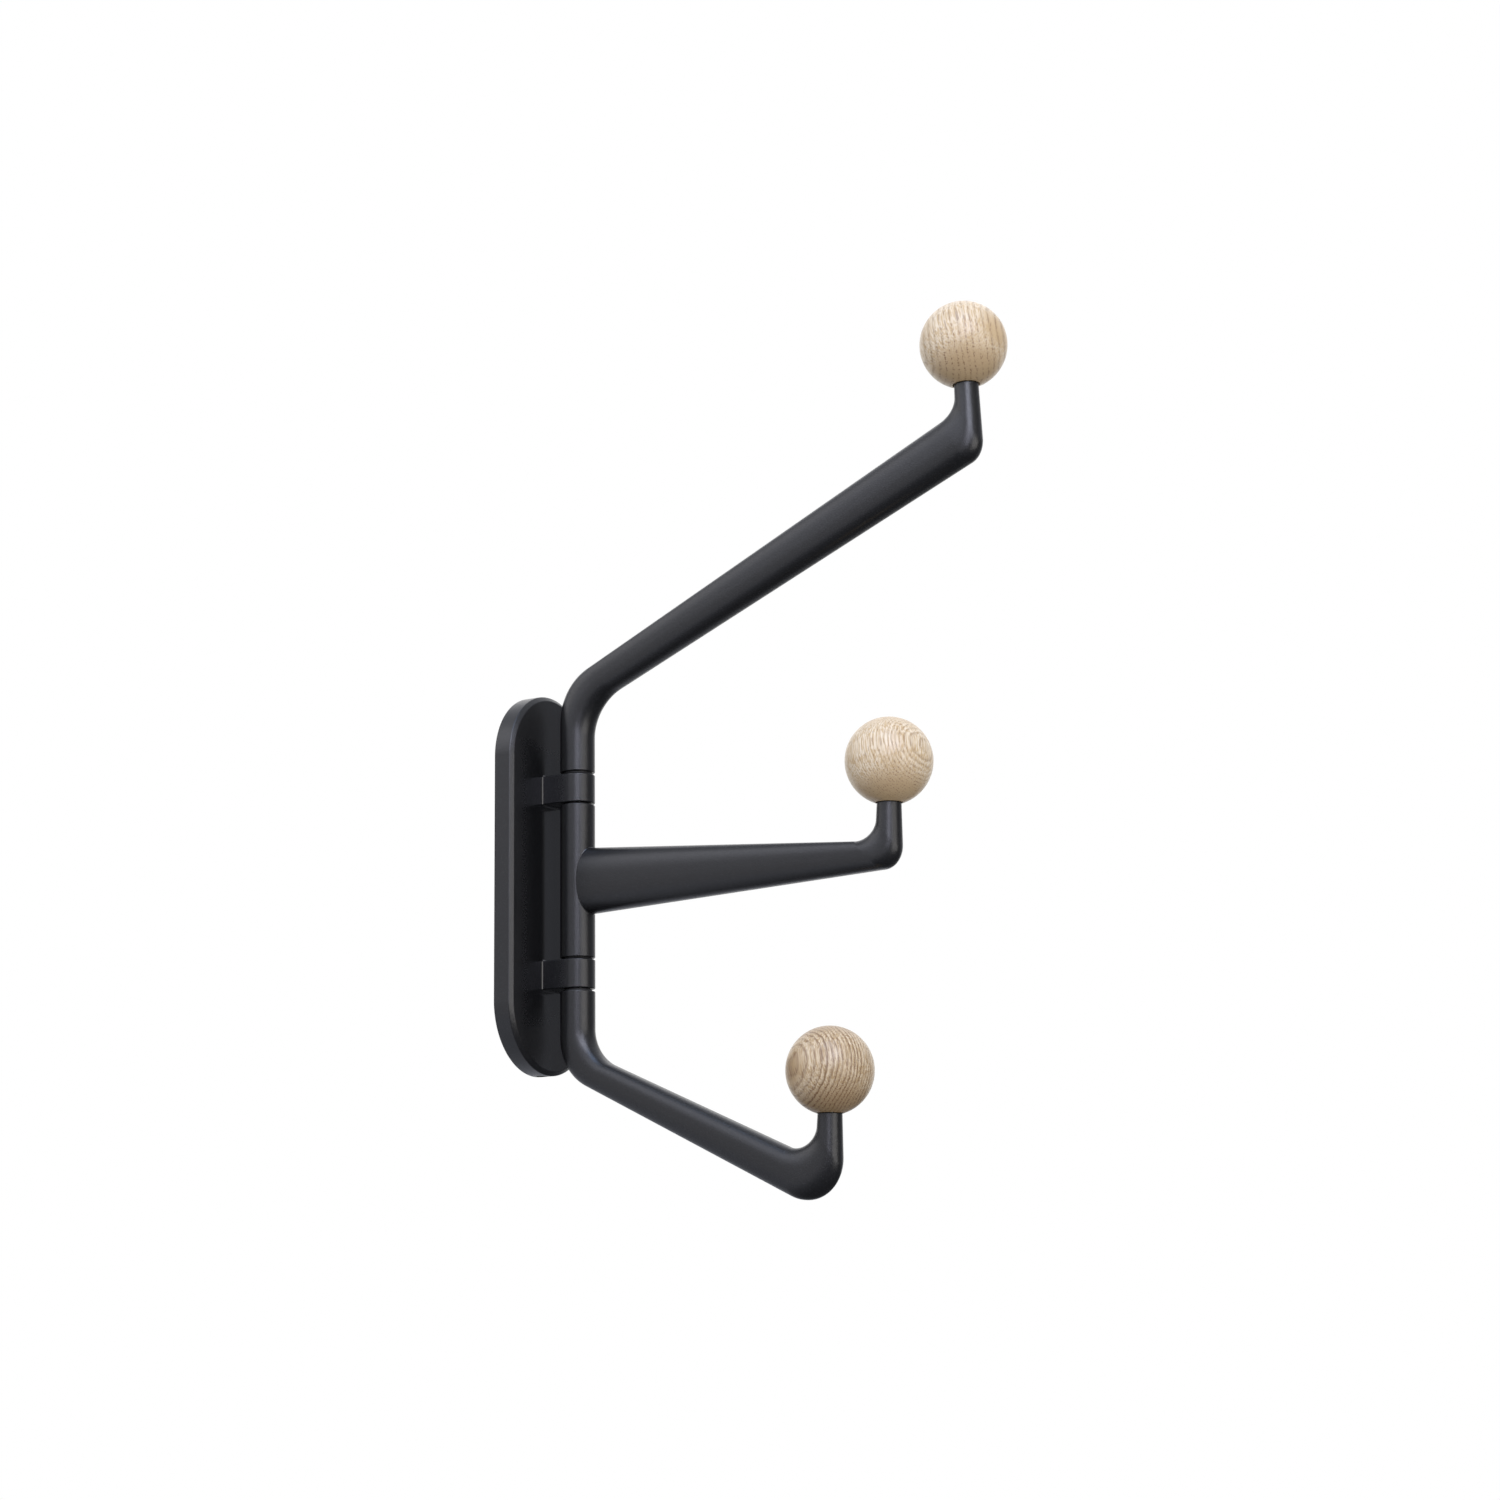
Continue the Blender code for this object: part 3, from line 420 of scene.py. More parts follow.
def lip_blank():
    """The lip: the part of the rim's disc above its straight lower edge."""
    radius = (plate_high.x - plate_low.x - PLATE_SIDE_WALL) / 2
    centre = plate_high.z - (plate_high.x - plate_low.x) / 2
    edge = plate_high.z - PLATE_SIDE_WALL - LIP_HEIGHT
    start = math.asin((edge - centre) / radius)
    bm = bmesh.new()
    corner = bm.verts.new((radius * math.cos(start), -FIT_GAP, edge))
    end = bmesh.ops.spin(bm, geom=[corner], cent=(0, 0, centre), axis=(0, -1, 0),
                         angle=math.pi - 2 * start, steps=LIP_STEPS)["geom_last"][0]
    bm.edges.new((end, corner))
    pushed(bm, filled_outline(bm), (0, -LIP_THICKNESS, 0))
    bmesh.ops.recalc_face_normals(bm, faces=bm.faces)
    return bm


def boss_blank():
    """The boss: a block from the hollow's floor and side wall up to its tapped face."""
    foot = plate_low.z + PLATE_SIDE_WALL
    root = -RECESS_DEPTH - PLATE_FACE_WALL / 2
    low = Vector((-LOCK_BOSS_WIDTH / 2, root, foot - PLATE_SIDE_WALL / 2))
    high = Vector((LOCK_BOSS_WIDTH / 2, -LOCK_BOSS_WALL_DISTANCE, foot + LOCK_BOSS_HEIGHT))
    bm = bmesh.new()
    bmesh.ops.create_cube(bm, size=1)
    bmesh.ops.scale(bm, vec=high - low, verts=bm.verts)
    bmesh.ops.translate(bm, vec=(low + high) / 2, verts=bm.verts)
    return bm


def plate_casting():
    """The whole casting: its parts joined and filleted, then bored and tapped."""
    bm = plate_blank()
    rounded(bm, PLATE_RECESS_FILLET, PLATE_RECESS_SEGMENTS, lambda edge: corner_at(edge, RECESS_DEPTH))
    for form in (lip_blank(), boss_blank(), lug_blank(1), lug_blank(-1)):
        bm = machined(bm, form, "UNION")
    foot = TUBE_RADIUS + CUT_OVERRUN
    bm.verts.layers.float.new("pooled")
    fillet = rounded(bm, LUG_FILLET, LUG_FILLET_SEGMENTS,
                     lambda edge: corner_at(edge, PLATE_THICKNESS)
                     and all(abs(vert.co.x) < foot for vert in edge.verts)
                     and all(abs(vert.co.z) < LUG_END + CUT_OVERRUN for vert in edge.verts))
    pool_coat(bm, {vert for face in fillet for vert in face.verts})
    rounded(bm, PLATE_EDGE_ROUND, EDGE_SEGMENTS,
            lambda edge: any(corner_at(edge, level) for level in
                             (0, PLATE_THICKNESS - PLATE_CHAMFER_DEPTH, PLATE_THICKNESS)))
    reach = LUG_END + CUT_OVERRUN
    bm = machined(bm, rod(PIN_DIAMETER / 2 + FIT_GAP, -reach, reach, BORE_SIDES, hinge_place))
    mouth = plate_low.z - CUT_OVERRUN
    end = plate_low.z + PLATE_SIDE_WALL + LOCK_BOSS_HEIGHT + CUT_OVERRUN
    place = Matrix.Translation((0, -LOCK_SCREW_WALL_DISTANCE, 0))
    return machined(bm, rod(LOCK_SCREW_DIAMETER / 2 + FIT_GAP, mouth, end, BORE_SIDES, place))


coat = powder_coat()
finished_piece("plate_casting", plate_casting(), coat, "base", "anthracite_coat", "wall_plate")


# Locking screw. A black M4 grub screw that goes up through the plate's foot and presses its
# cone on the bracket's foot. It has a hexagonal socket for the key.
LOCK_SCREW_POINT = 0.0010
LOCK_SCREW_CHAMFER = 0.0003
SOCKET_WIDTH = 0.0020
SOCKET_DEPTH = 0.0014
SOCKET_SIDES = 6
SCREW_SIDES = 48
BLACK_STEEL_COLOUR = (0.050, 0.050, 0.054)
BLACK_STEEL_WORN = (0.110, 0.108, 0.105)
BLACK_STEEL_WORN_RANGE = (0.45, 0.75)
BLACK_STEEL_ROUGHNESS = (0.30, 0.50)
BLACK_STEEL_SCALE = 1500
BLACK_STEEL_RELIEF = 0.000010


def black_oxide():
    """Black oxide on steel, oily and a little uneven."""
    finish, shader, where = started_finish("black_oxide", BLACK_STEEL_COLOUR, BLACK_STEEL_ROUGHNESS[0], 1.0)
    mottle = noise(finish, where, BLACK_STEEL_SCALE, detail=4.0)
    worn = remapped(finish, mottle, BLACK_STEEL_WORN_RANGE)
    connect(finish, blended(finish, worn, BLACK_STEEL_COLOUR, BLACK_STEEL_WORN), shader, "Base Color")
    connect(finish, remapped(finish, mottle, NOISE_SPREAD, BLACK_STEEL_ROUGHNESS), shader, "Roughness")
    relief(finish, shader, mottle, BLACK_STEEL_RELIEF)
    return finish


def socket_screw(profile, end, place):
    """A turned screw with a hexagonal socket in the end that faces +Z."""
    corner = SOCKET_WIDTH / 2 / math.cos(math.pi / SOCKET_SIDES)
    return machined(turned(profile, SCREW_SIDES, place),
                    rod(corner, end - SOCKET_DEPTH, end + CUT_OVERRUN, SOCKET_SIDES, place))


def locking_screw():
    """The screw, drawn from its socket end down to its cone."""
    low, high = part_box("locking_screw")
    radius = LOCK_SCREW_DIAMETER / 2
    length = high.z - low.z
    profile = [
        (0, 0),
        (radius - LOCK_SCREW_CHAMFER, 0),
        (radius, -LOCK_SCREW_CHAMFER),
        (radius, LOCK_SCREW_POINT - length),
        (radius - LOCK_SCREW_POINT, -length),
        (0, -length),
    ]
    place = Matrix.Translation((0, -LOCK_SCREW_WALL_DISTANCE, low.z)) @ Matrix.Rotation(math.pi, 4, "X")
    return socket_screw(profile, 0, place)


black_steel = black_oxide()
finished_piece("lock_screw", locking_screw(), black_steel, "base", "blackened_steel", "locking_screw")


# Hinge pin. Zinc-plated steel rod through the lugs and all three arms, grooved near each end
# for the point of a grub screw to run in. Nothing of it shows, so the CAD solid stays.

def dressed(finish, *nodes):
    """Give CAD solids that stay in the model their finish."""
    for name in nodes:
        frame["nodes"][name].data.materials.clear()
        frame["nodes"][name].data.materials.append(finish)


dressed(zinc, "hinge_pin")


# Middle arm. A casting in the same coat as the plate. Its hub turns between the lugs, and a
# flattened bar tapers from the hub to an elbow, whose stub carries the ball.
BAR_THICKNESS = 0.0126
STUB_FOOT_DIAMETER = 0.0109
STUB_DIAMETER = 0.0098
STUB_EDGE_ROUND = 0.0004
BALL_DIAMETER = 0.0350
BALL_SEAT_DIAMETER = 0.0109
STUD_DIAMETER = 0.0050
STUD_IN_STUB = 0.0120
BUSH_WALL = 0.0010
BUSH_LENGTH = 0.0140
FLANGE_DIAMETER = 0.0118
FLANGE_SEAT_DEPTH = 0.0009
BLIND_END_ROOM = 0.0008
ROUND_EXPONENT = 2.0
BAR_EXPONENT = 2.6
MIDDLE_BALL_REACH = 0.1485
MIDDLE_BALL_HEIGHT = 0.0343
MIDDLE_STUB_OFFSET = -0.0007
MIDDLE_BAR_TOP_HEIGHT = 0.0141
MIDDLE_BAR_UNDER_DROP = 0.0144
MIDDLE_CROOK_DROP = 0.0315
MIDDLE_CROOK_RADIUS = 0.0089
MIDDLE_NOSE_DROP = 0.0425
MIDDLE_NOSE_RADIUS = 0.0087
ROOT_FILLET = 0.0006
ROOT_FILLET_STEPS = 4
ROOT_SINK = 0.00001
ROOT_DEPTH = 0.0015
ARM_SIDES = 96
BEND_STEPS = 24
RIM_STEPS = 4

PIN_BORE_RADIUS = PIN_DIAMETER / 2 + FIT_GAP
BUSH_RADIUS = PIN_BORE_RADIUS + BUSH_WALL
FLANGE_RADIUS = FLANGE_DIAMETER / 2
BALL_RADIUS = BALL_DIAMETER / 2
BALL_SEAT_RADIUS = BALL_SEAT_DIAMETER / 2
STUB_TIP_LEVEL = math.sqrt(BALL_RADIUS ** 2 - BALL_SEAT_RADIUS ** 2)
BALL_SEAT_LEVEL = STUB_TIP_LEVEL - FIT_GAP


def eased(start, end, share):
    """A value that eases from start to end as share goes from 0 to 1."""
    return start + (end - start) * share * share * (3 - 2 * share)


def rounded_corner(before, corner, after, radius):
    """Points of the arc that rounds a corner between two straight runs."""
    back = (before - corner).normalized()
    ahead = (after - corner).normalized()
    half_angle = back.angle(ahead) / 2
    centre = corner + (back + ahead).normalized() * radius / math.sin(half_angle)
    start = corner + back * radius / math.tan(half_angle) - centre
    end = corner + ahead * radius / math.tan(half_angle) - centre
    return [centre + radius * start.slerp(end, step / BEND_STEPS) for step in range(BEND_STEPS + 1)]


def section(bm, top, under, thickness, exponent):
    """A rounded ring across an arm that spans two (reach, height) points of its edges."""
    verts = bmesh.ops.create_circle(bm, radius=1, segments=ARM_SIDES)["verts"]
    for vert in verts:
        across, along = (math.copysign(abs(share) ** (2 / exponent), share) for share in vert.co.xy)
        point = (top + under) / 2 + (top - under) / 2 * along
        vert.co = (thickness / 2 * across, hinge.y - point.x, point.y)
    return verts


def bend_sections(bm, top_arc, under_arc, thicknesses, exponents):
    """The rings round a bend, between the arcs of its two edges."""
    rings = []
    for step, (top, under) in enumerate(zip(top_arc, under_arc)):
        share = step / BEND_STEPS
        rings.append(section(bm, top, under, eased(*thicknesses, share), eased(*exponents, share)))
    return rings


def arm_shape(ball_reach, ball_height, stub_offset, crook_drop, crook_radius, nose_drop, nose_radius):
    """The outer end of an arm: its ball's centre, elbow corners and stub."""
    ball = Vector((ball_reach, ball_height))
    foot_reach = ball_reach + stub_offset
    axis = (ball - Vector((foot_reach, ball_height - (crook_drop + nose_drop) / 2))).normalized()
    return {
        "ball": ball,
        "axis": axis,
        "to_nose": Vector((axis.y, -axis.x)),
        "tip": ball - axis * STUB_TIP_LEVEL,
        "crook": Vector((foot_reach - STUB_FOOT_DIAMETER / 2, ball_height - crook_drop)),
        "nose": Vector((foot_reach + STUB_FOOT_DIAMETER / 2, ball_height - nose_drop)),
        "crook_radius": crook_radius,
        "nose_radius": nose_radius,
    }


def rim_sections(bm, end, inward, side, radius, edge_round):
    """The rings of a round end's rim, from its face in to its full radius."""
    rings = []
    for step in range(RIM_STEPS + 1):
        turn = math.pi / 2 * step / RIM_STEPS
        middle = end + inward * edge_round * (1 - math.cos(turn))
        ring_radius = radius - edge_round * (1 - math.sin(turn))
        reach = side * ring_radius
        rings.append(section(bm, middle + reach, middle - reach, 2 * ring_radius, ROUND_EXPONENT))
    return rings


def elbow_sections(bm, shape, top_root, under_root):
    """The rings of the elbow and the stub, from the outer end of the bar to the ball."""
    side = shape["to_nose"] * STUB_DIAMETER / 2
    crook = rounded_corner(top_root, shape["crook"], shape["tip"] - side, shape["crook_radius"])
    nose = rounded_corner(under_root, shape["nose"], shape["tip"] + side, shape["nose_radius"])
    thicknesses = (BAR_THICKNESS, STUB_FOOT_DIAMETER)
    rings = bend_sections(bm, crook, nose, thicknesses, (BAR_EXPONENT, ROUND_EXPONENT))
    rim = rim_sections(bm, shape["tip"], -shape["axis"], -shape["to_nose"], STUB_DIAMETER / 2,
                       STUB_EDGE_ROUND)
    return rings + rim[::-1]


def skinned(bm, rings):
    """Skin a row of rings and cap both ends."""
    loops = [list({edge for vert in ring for edge in vert.link_edges}) for ring in rings]
    for first, second in zip(loops, loops[1:]):
        bmesh.ops.bridge_loops(bm, edges=first + second)
    bmesh.ops.holes_fill(bm, edges=loops[0] + loops[-1])
    bmesh.ops.recalc_face_normals(bm, faces=bm.faces)
    return bm


def root_sections(bm, foot, end):
    """Turn the ring on the hub's axis into the rings of a fillet round the bar's root."""
    rings = [bmesh.ops.create_circle(bm, radius=1, segments=ARM_SIDES)["verts"]
             for _ in range(ROOT_FILLET_STEPS + 2)]
    middle = sum((vert.co for vert in foot), Vector()) / ARM_SIDES
    for index, (vert, far) in enumerate(zip(foot, end)):
        along = far.co - vert.co
        leaving = math.sqrt(TUBE_RADIUS ** 2 - vert.co.x ** 2)
        corner = vert.co + along * leaving / -along.y
        round_bar = foot[(index + 1) % ARM_SIDES].co - foot[index - 1].co
        from_bar = round_bar.cross(along).normalized()
        from_bar *= math.copysign(1, from_bar.dot(vert.co - middle))
        from_hub = Vector((corner.x, -leaving, 0)) / TUBE_RADIUS
        centre = corner + (from_bar + from_hub) * ROOT_FILLET / (1 + from_bar.dot(from_hub))
        for step, ring in enumerate(rings[1:]):
            ring[index].co = centre - ROOT_FILLET * from_hub.slerp(from_bar, step / ROOT_FILLET_STEPS)
        for ring, radius in ((rings[0], TUBE_RADIUS - ROOT_DEPTH), (rings[1], TUBE_RADIUS - ROOT_SINK)):
            seam = rings[1][index].co
            outward = Vector((seam.x, seam.y - hinge.y)).normalized() * radius
            ring[index].co = (outward.x, hinge.y + outward.y, seam.z)
    bmesh.ops.delete(bm, geom=foot, context="VERTS")
    pool_coat(bm, [vert for ring in rings[2:-1] for vert in ring])
    return rings


def bore_steps(mouth, inward):
    """Profile of a bush's bore, from beyond the mouth inwards. Inward is 1 up, -1 down."""
    depths = [
        (FLANGE_RADIUS + FIT_GAP, -CUT_OVERRUN),
        (FLANGE_RADIUS + FIT_GAP, FLANGE_SEAT_DEPTH),
        (BUSH_RADIUS + FIT_GAP, FLANGE_SEAT_DEPTH),
        (BUSH_RADIUS + FIT_GAP, FLANGE_SEAT_DEPTH + BUSH_LENGTH + FIT_GAP),
        (PIN_BORE_RADIUS, FLANGE_SEAT_DEPTH + BUSH_LENGTH + FIT_GAP),
    ]
    return [(radius, mouth + inward * depth) for radius, depth in depths]


def ball_place(shape):
    """Frame of a ball: at its centre, Z along the stub and away from it."""
    lean = math.atan2(shape["axis"].x, shape["axis"].y)
    centre = Vector((0, hinge.y - shape["ball"].x, shape["ball"].y))
    return Matrix.Translation(centre) @ Matrix.Rotation(lean, 4, "X")


def drilled_stub(bm, shape):
    """The arm with its stub drilled for the ball's stud."""
    bottom = -STUB_TIP_LEVEL - STUD_IN_STUB - BLIND_END_ROOM
    return machined(bm, rod(STUD_DIAMETER / 2 + FIT_GAP, bottom, CUT_OVERRUN - STUB_TIP_LEVEL, BORE_SIDES,
                            ball_place(shape)))


def hub_blank():
    """The hub: a rod with rounded rims."""
    profile = [(0, -HUB_END), (TUBE_RADIUS, -HUB_END), (TUBE_RADIUS, HUB_END), (0, HUB_END)]
    bm = turned(profile, ARM_SIDES, hinge_place)
    rounded(bm, TUBE_EDGE_ROUND, RIM_STEPS, lambda edge: edge.calc_face_angle(0) > SQUARE_ANGLE)
    return bm


def middle_casting(shape):
    """The middle arm: its filleted bar joined to its hub, then bored and drilled."""
    top_root = Vector((0, MIDDLE_BAR_TOP_HEIGHT))
    under_root = Vector((0, -MIDDLE_BAR_UNDER_DROP))
    bar = bmesh.new()
    bar.verts.layers.float.new("pooled")
    foot = section(bar, top_root, under_root, BAR_THICKNESS, BAR_EXPONENT)
    rings = elbow_sections(bar, shape, top_root, under_root)
    bm = machined(skinned(bar, root_sections(bar, foot, rings[0]) + rings), hub_blank(), "UNION")
    profile = [(0, -HUB_END - CUT_OVERRUN), *bore_steps(-HUB_END, 1), *reversed(bore_steps(HUB_END, -1)),
               (0, HUB_END + CUT_OVERRUN)]
    return drilled_stub(machined(bm, turned(profile, BORE_SIDES, hinge_place)), shape)


middle_shape = arm_shape(MIDDLE_BALL_REACH, MIDDLE_BALL_HEIGHT, MIDDLE_STUB_OFFSET, MIDDLE_CROOK_DROP,
                         MIDDLE_CROOK_RADIUS, MIDDLE_NOSE_DROP, MIDDLE_NOSE_RADIUS)
finished_piece("middle_arm_casting", middle_casting(middle_shape), coat, "middle", "anthracite_coat",
               "middle_arm")


# Middle arm's bushes. Black acetal, turned and pressed into both mouths of the hub, so that
# their flanges run on the lugs. Only the rims of the flanges show.
BUSH_SIDES = 96
BUSH_EDGE_ROUND = 0.00015
ACETAL_COLOUR = (0.006, 0.006, 0.006)
# Paler colour of the turning lines: painted sheen.
ACETAL_PAINTED_SHEEN = (0.012, 0.012, 0.013)
ACETAL_ROUGHNESS = (0.50, 0.64)
ACETAL_TURNING_SCALES = (300, 300, 5200)
ACETAL_RELIEF = 0.000015


def black_acetal():
    """Black bearing plastic with fine turning lines round it, drawn paler in colour as painted sheen."""
    finish, shader, where = started_finish("turned_acetal", ACETAL_COLOUR, ACETAL_ROUGHNESS[0])
    lines = noise(finish, stretched(finish, where, ACETAL_TURNING_SCALES))
    # The turning lines are real marks; their paler colour is painted sheen.
    connect(finish, blended(finish, lines, ACETAL_COLOUR, ACETAL_PAINTED_SHEEN), shader, "Base Color")
    connect(finish, remapped(finish, lines, NOISE_SPREAD, ACETAL_ROUGHNESS), shader, "Roughness")
    relief(finish, shader, lines, ACETAL_RELIEF)
    return finish


def flanged_bush(mouth, inward, gap):
    """A bush in the mouth of an arm, its flange filling the gap of the hinge."""
    section_points = [
        (PIN_BORE_RADIUS, FIT_GAP - gap),
        (FLANGE_RADIUS, FIT_GAP - gap),
        (FLANGE_RADIUS, FLANGE_SEAT_DEPTH - FIT_GAP),
        (BUSH_RADIUS, FLANGE_SEAT_DEPTH - FIT_GAP),
        (BUSH_RADIUS, FLANGE_SEAT_DEPTH + BUSH_LENGTH),
        (PIN_BORE_RADIUS, FLANGE_SEAT_DEPTH + BUSH_LENGTH),
    ]
    profile = [(radius, mouth + inward * depth) for radius, depth in section_points]
    bm = turned(profile, BUSH_SIDES, hinge_place, bored=True)
    rounded(bm, BUSH_EDGE_ROUND, EDGE_SEGMENTS, lambda edge: edge.calc_face_angle(0) > SQUARE_ANGLE)
    return bm


acetal = black_acetal()
finished_piece("hub_top_bush", flanged_bush(HUB_END, -1, HUB_GAP), acetal, "middle", "black_acetal",
               "middle_arm_top_bush")
finished_piece("hub_bottom_bush", flanged_bush(-HUB_END, 1, HUB_GAP), acetal, "middle", "black_acetal",
               "middle_arm_bottom_bush")


# Middle ball. Turned oak under a matt lacquer, its fibres along the stub. A brass insert in
# its bore and a steel stud in the stub hold it, both out of sight.
BALL_SIDES = 128
BALL_STEPS = 72
SEAT_RECESS = 0.0012
INSERT_DIAMETER = 0.0075
INSERT_LENGTH = 0.0110
INSERT_RECESS = 0.0006
MILLIMETRE = 0.001
BRASS_COLOUR = (0.78, 0.58, 0.28)
BRASS_SHADE = (0.62, 0.44, 0.20)
BRASS_ROUGHNESS = (0.22, 0.38)
BRASS_SCALES = (400, 4000, 4000)
BRASS_RELIEF = 0.000010
OAK_PALE = (0.640, 0.553, 0.405)
OAK_TAN = (0.470, 0.343, 0.186)
OAK_LINE = (0.298, 0.199, 0.098)
OAK_PORE = (0.165, 0.085, 0.036)
OAK_ROUGHNESS = (0.28, 0.40)
OAK_FLATNESS = 0.4
OAK_WANDER_SCALES = (0.13, 0.13, 0.035)
OAK_FIBRE_SCALES = (1.9, 1.9, 0.07)
OAK_FIBRE_RANGE = (0.38, 0.58)
OAK_CLOUD_SCALE = 0.09
OAK_CLOUD_RANGE = (0.40, 0.75)
OAK_CLOUD_SHARE = 0.5
OAK_RAY_SCALES = (2.4, 0.25, 0.35)
OAK_RAY_RANGE = (0.55, 0.75)
OAK_RAY_SHARE = 0.5
OAK_EARLY_RANGE = (0.0, 0.60)
OAK_EDGE_RANGE = (0.80, 1.0)
OAK_FAINTEST_LINE = 0.35
OAK_PORE_SCALES = (1.60, 1.60, 0.12)
OAK_PORE_RANGE = (-0.05, 0.09)
OAK_FINE_PORE_SCALES = (2.6, 2.6, 0.30)
OAK_FINE_PORE_RANGE = (0.10, 0.22)
OAK_FINE_PORE_SHARE = 0.5
OAK_STAIN_RANGE = (3.0, 12.0)
OAK_END_RANGE = (7.5, 16.0)
OAK_END_TAN_SHARE = 0.9
OAK_END_LINE_SHARE = 0.30
OAK_SIDE_PORE_SHARE = 0.6
OAK_RELIEF = 0.00004

# One ball's wood. Its fibres run along a direction in the hook's frame. The pith's place across
# them, the rings' width, the wander and the stain's place are in millimetres from the ball's
# centre. Colours are pale, tan and line, pores are their sizes in late and early wood, and the
# rest are shares.
MIDDLE_OAK = {
    "fibre": (-0.26, -0.18, -0.95),
    "pith": (-43.4, -41.5),
    "ring_width": 1.0,
    "wander": 2.2,
    "colours": (OAK_PALE, OAK_TAN, OAK_LINE),
    "lines": 0.50,
    "pores": (0.18, 0.42),
    "depth": 0.75,
    "stain": (1.9, 4.6, 16.8),
    "stain_share": 0.8,
}


def brass():
    """Brass with the marks of its turning."""
    finish, shader, where = started_finish("turned_brass", BRASS_COLOUR, BRASS_ROUGHNESS[0], 1.0)
    lines = noise(finish, stretched(finish, where, BRASS_SCALES))
    connect(finish, blended(finish, lines, BRASS_SHADE, BRASS_COLOUR), shader, "Base Color")
    connect(finish, remapped(finish, lines, NOISE_SPREAD, BRASS_ROUGHNESS), shader, "Roughness")
    relief(finish, shader, lines, BRASS_RELIEF)
    return finish


def oak_wood(finish, where, place, looks):
    """The ball's coordinates in millimetres, Z along the fibres: plain, and as the fibres wander."""
    turn = Vector(looks["fibre"]).to_track_quat("Z", "Y").to_euler()
    inputs = {"Vector": where, "Location": place.translation, "Rotation": turn, "Scale": (MILLIMETRE,) * 3}
    straight = fed_node(finish, "ShaderNodeMapping", inputs, vector_type="TEXTURE").outputs[0]
    inputs = {"Vector": stretched(finish, straight, OAK_WANDER_SCALES), "Scale": 1.0, "Detail": 3.0}
    drift = fed_node(finish, "ShaderNodeTexNoise", inputs).outputs["Color"]
    drift = stretched(finish, drift, (looks["wander"], looks["wander"], 0))
    return straight, fed_node(finish, "ShaderNodeVectorMath", {0: straight, 1: drift}).outputs[0]


def about_pith(finish, wood, pith):
    """How far the wood is from the pith, round it at the ball's distance, and along it."""
    out = fed_node(finish, "ShaderNodeVectorMath", {0: wood, 1: (*pith, 0)}, operation="SUBTRACT")
    spoke = fed_node(finish, "ShaderNodeSeparateXYZ", {0: out.outputs[0]}).outputs
    flat = fed_node(finish, "ShaderNodeCombineXYZ", {"X": spoke["X"], "Y": spoke["Y"]}).outputs[0]
    distance = fed_node(finish, "ShaderNodeVectorMath", {0: flat}, operation="LENGTH").outputs["Value"]
    angle = figured(finish, "ARCTAN2", spoke["Y"], spoke["X"])
    return distance, figured(finish, "MULTIPLY", angle, Vector(pith).length), spoke["Z"]


def oak_rings(finish, distance, looks):
    """How early the wood is in its year, and the rings' lines, at a strength of each year's own."""
    rings = figured(finish, "DIVIDE", distance, looks["ring_width"])
    ring = figured(finish, "FRACT", rings)
    inputs = {"W": figured(finish, "FLOOR", rings)}
    year = fed_node(finish, "ShaderNodeTexWhiteNoise", inputs, noise_dimensions="1D").outputs["Value"]
    early = remapped(finish, ring, OAK_EARLY_RANGE, (1.0, 0.0))
    edge = remapped(finish, ring, OAK_EDGE_RANGE)
    strength = remapped(finish, year, wanted=(OAK_FAINTEST_LINE * looks["lines"], looks["lines"]))
    return early, figured(finish, "MULTIPLY", figured(finish, "MAXIMUM", early, edge), strength)


def oak_cells(finish, wood, scales):
    """Distance from the middle of the nearest of many long cells."""
    inputs = {"Vector": stretched(finish, wood, scales), "Scale": 1.0}
    return fed_node(finish, "ShaderNodeTexVoronoi", inputs).outputs["Distance"]


def oak_ground(finish, straight, fibres, radial, tanned, colours):
    """The colour between lines and pores: fibres, clouds and rays, tanned by some share."""
    pale, tan = colours
    cloud = noise(finish, straight, OAK_CLOUD_SCALE)
    rays = noise(finish, stretched(finish, radial, OAK_RAY_SCALES), detail=1.0)
    ground = blended(finish, remapped(finish, fibres, OAK_FIBRE_RANGE), tan, pale)
    ground = blended(finish, remapped(finish, cloud, OAK_CLOUD_RANGE, (0.0, OAK_CLOUD_SHARE)), ground, tan)
    ground = blended(finish, remapped(finish, rays, OAK_RAY_RANGE, (0.0, OAK_RAY_SHARE)), ground, pale)
    return blended(finish, tanned, ground, tan)


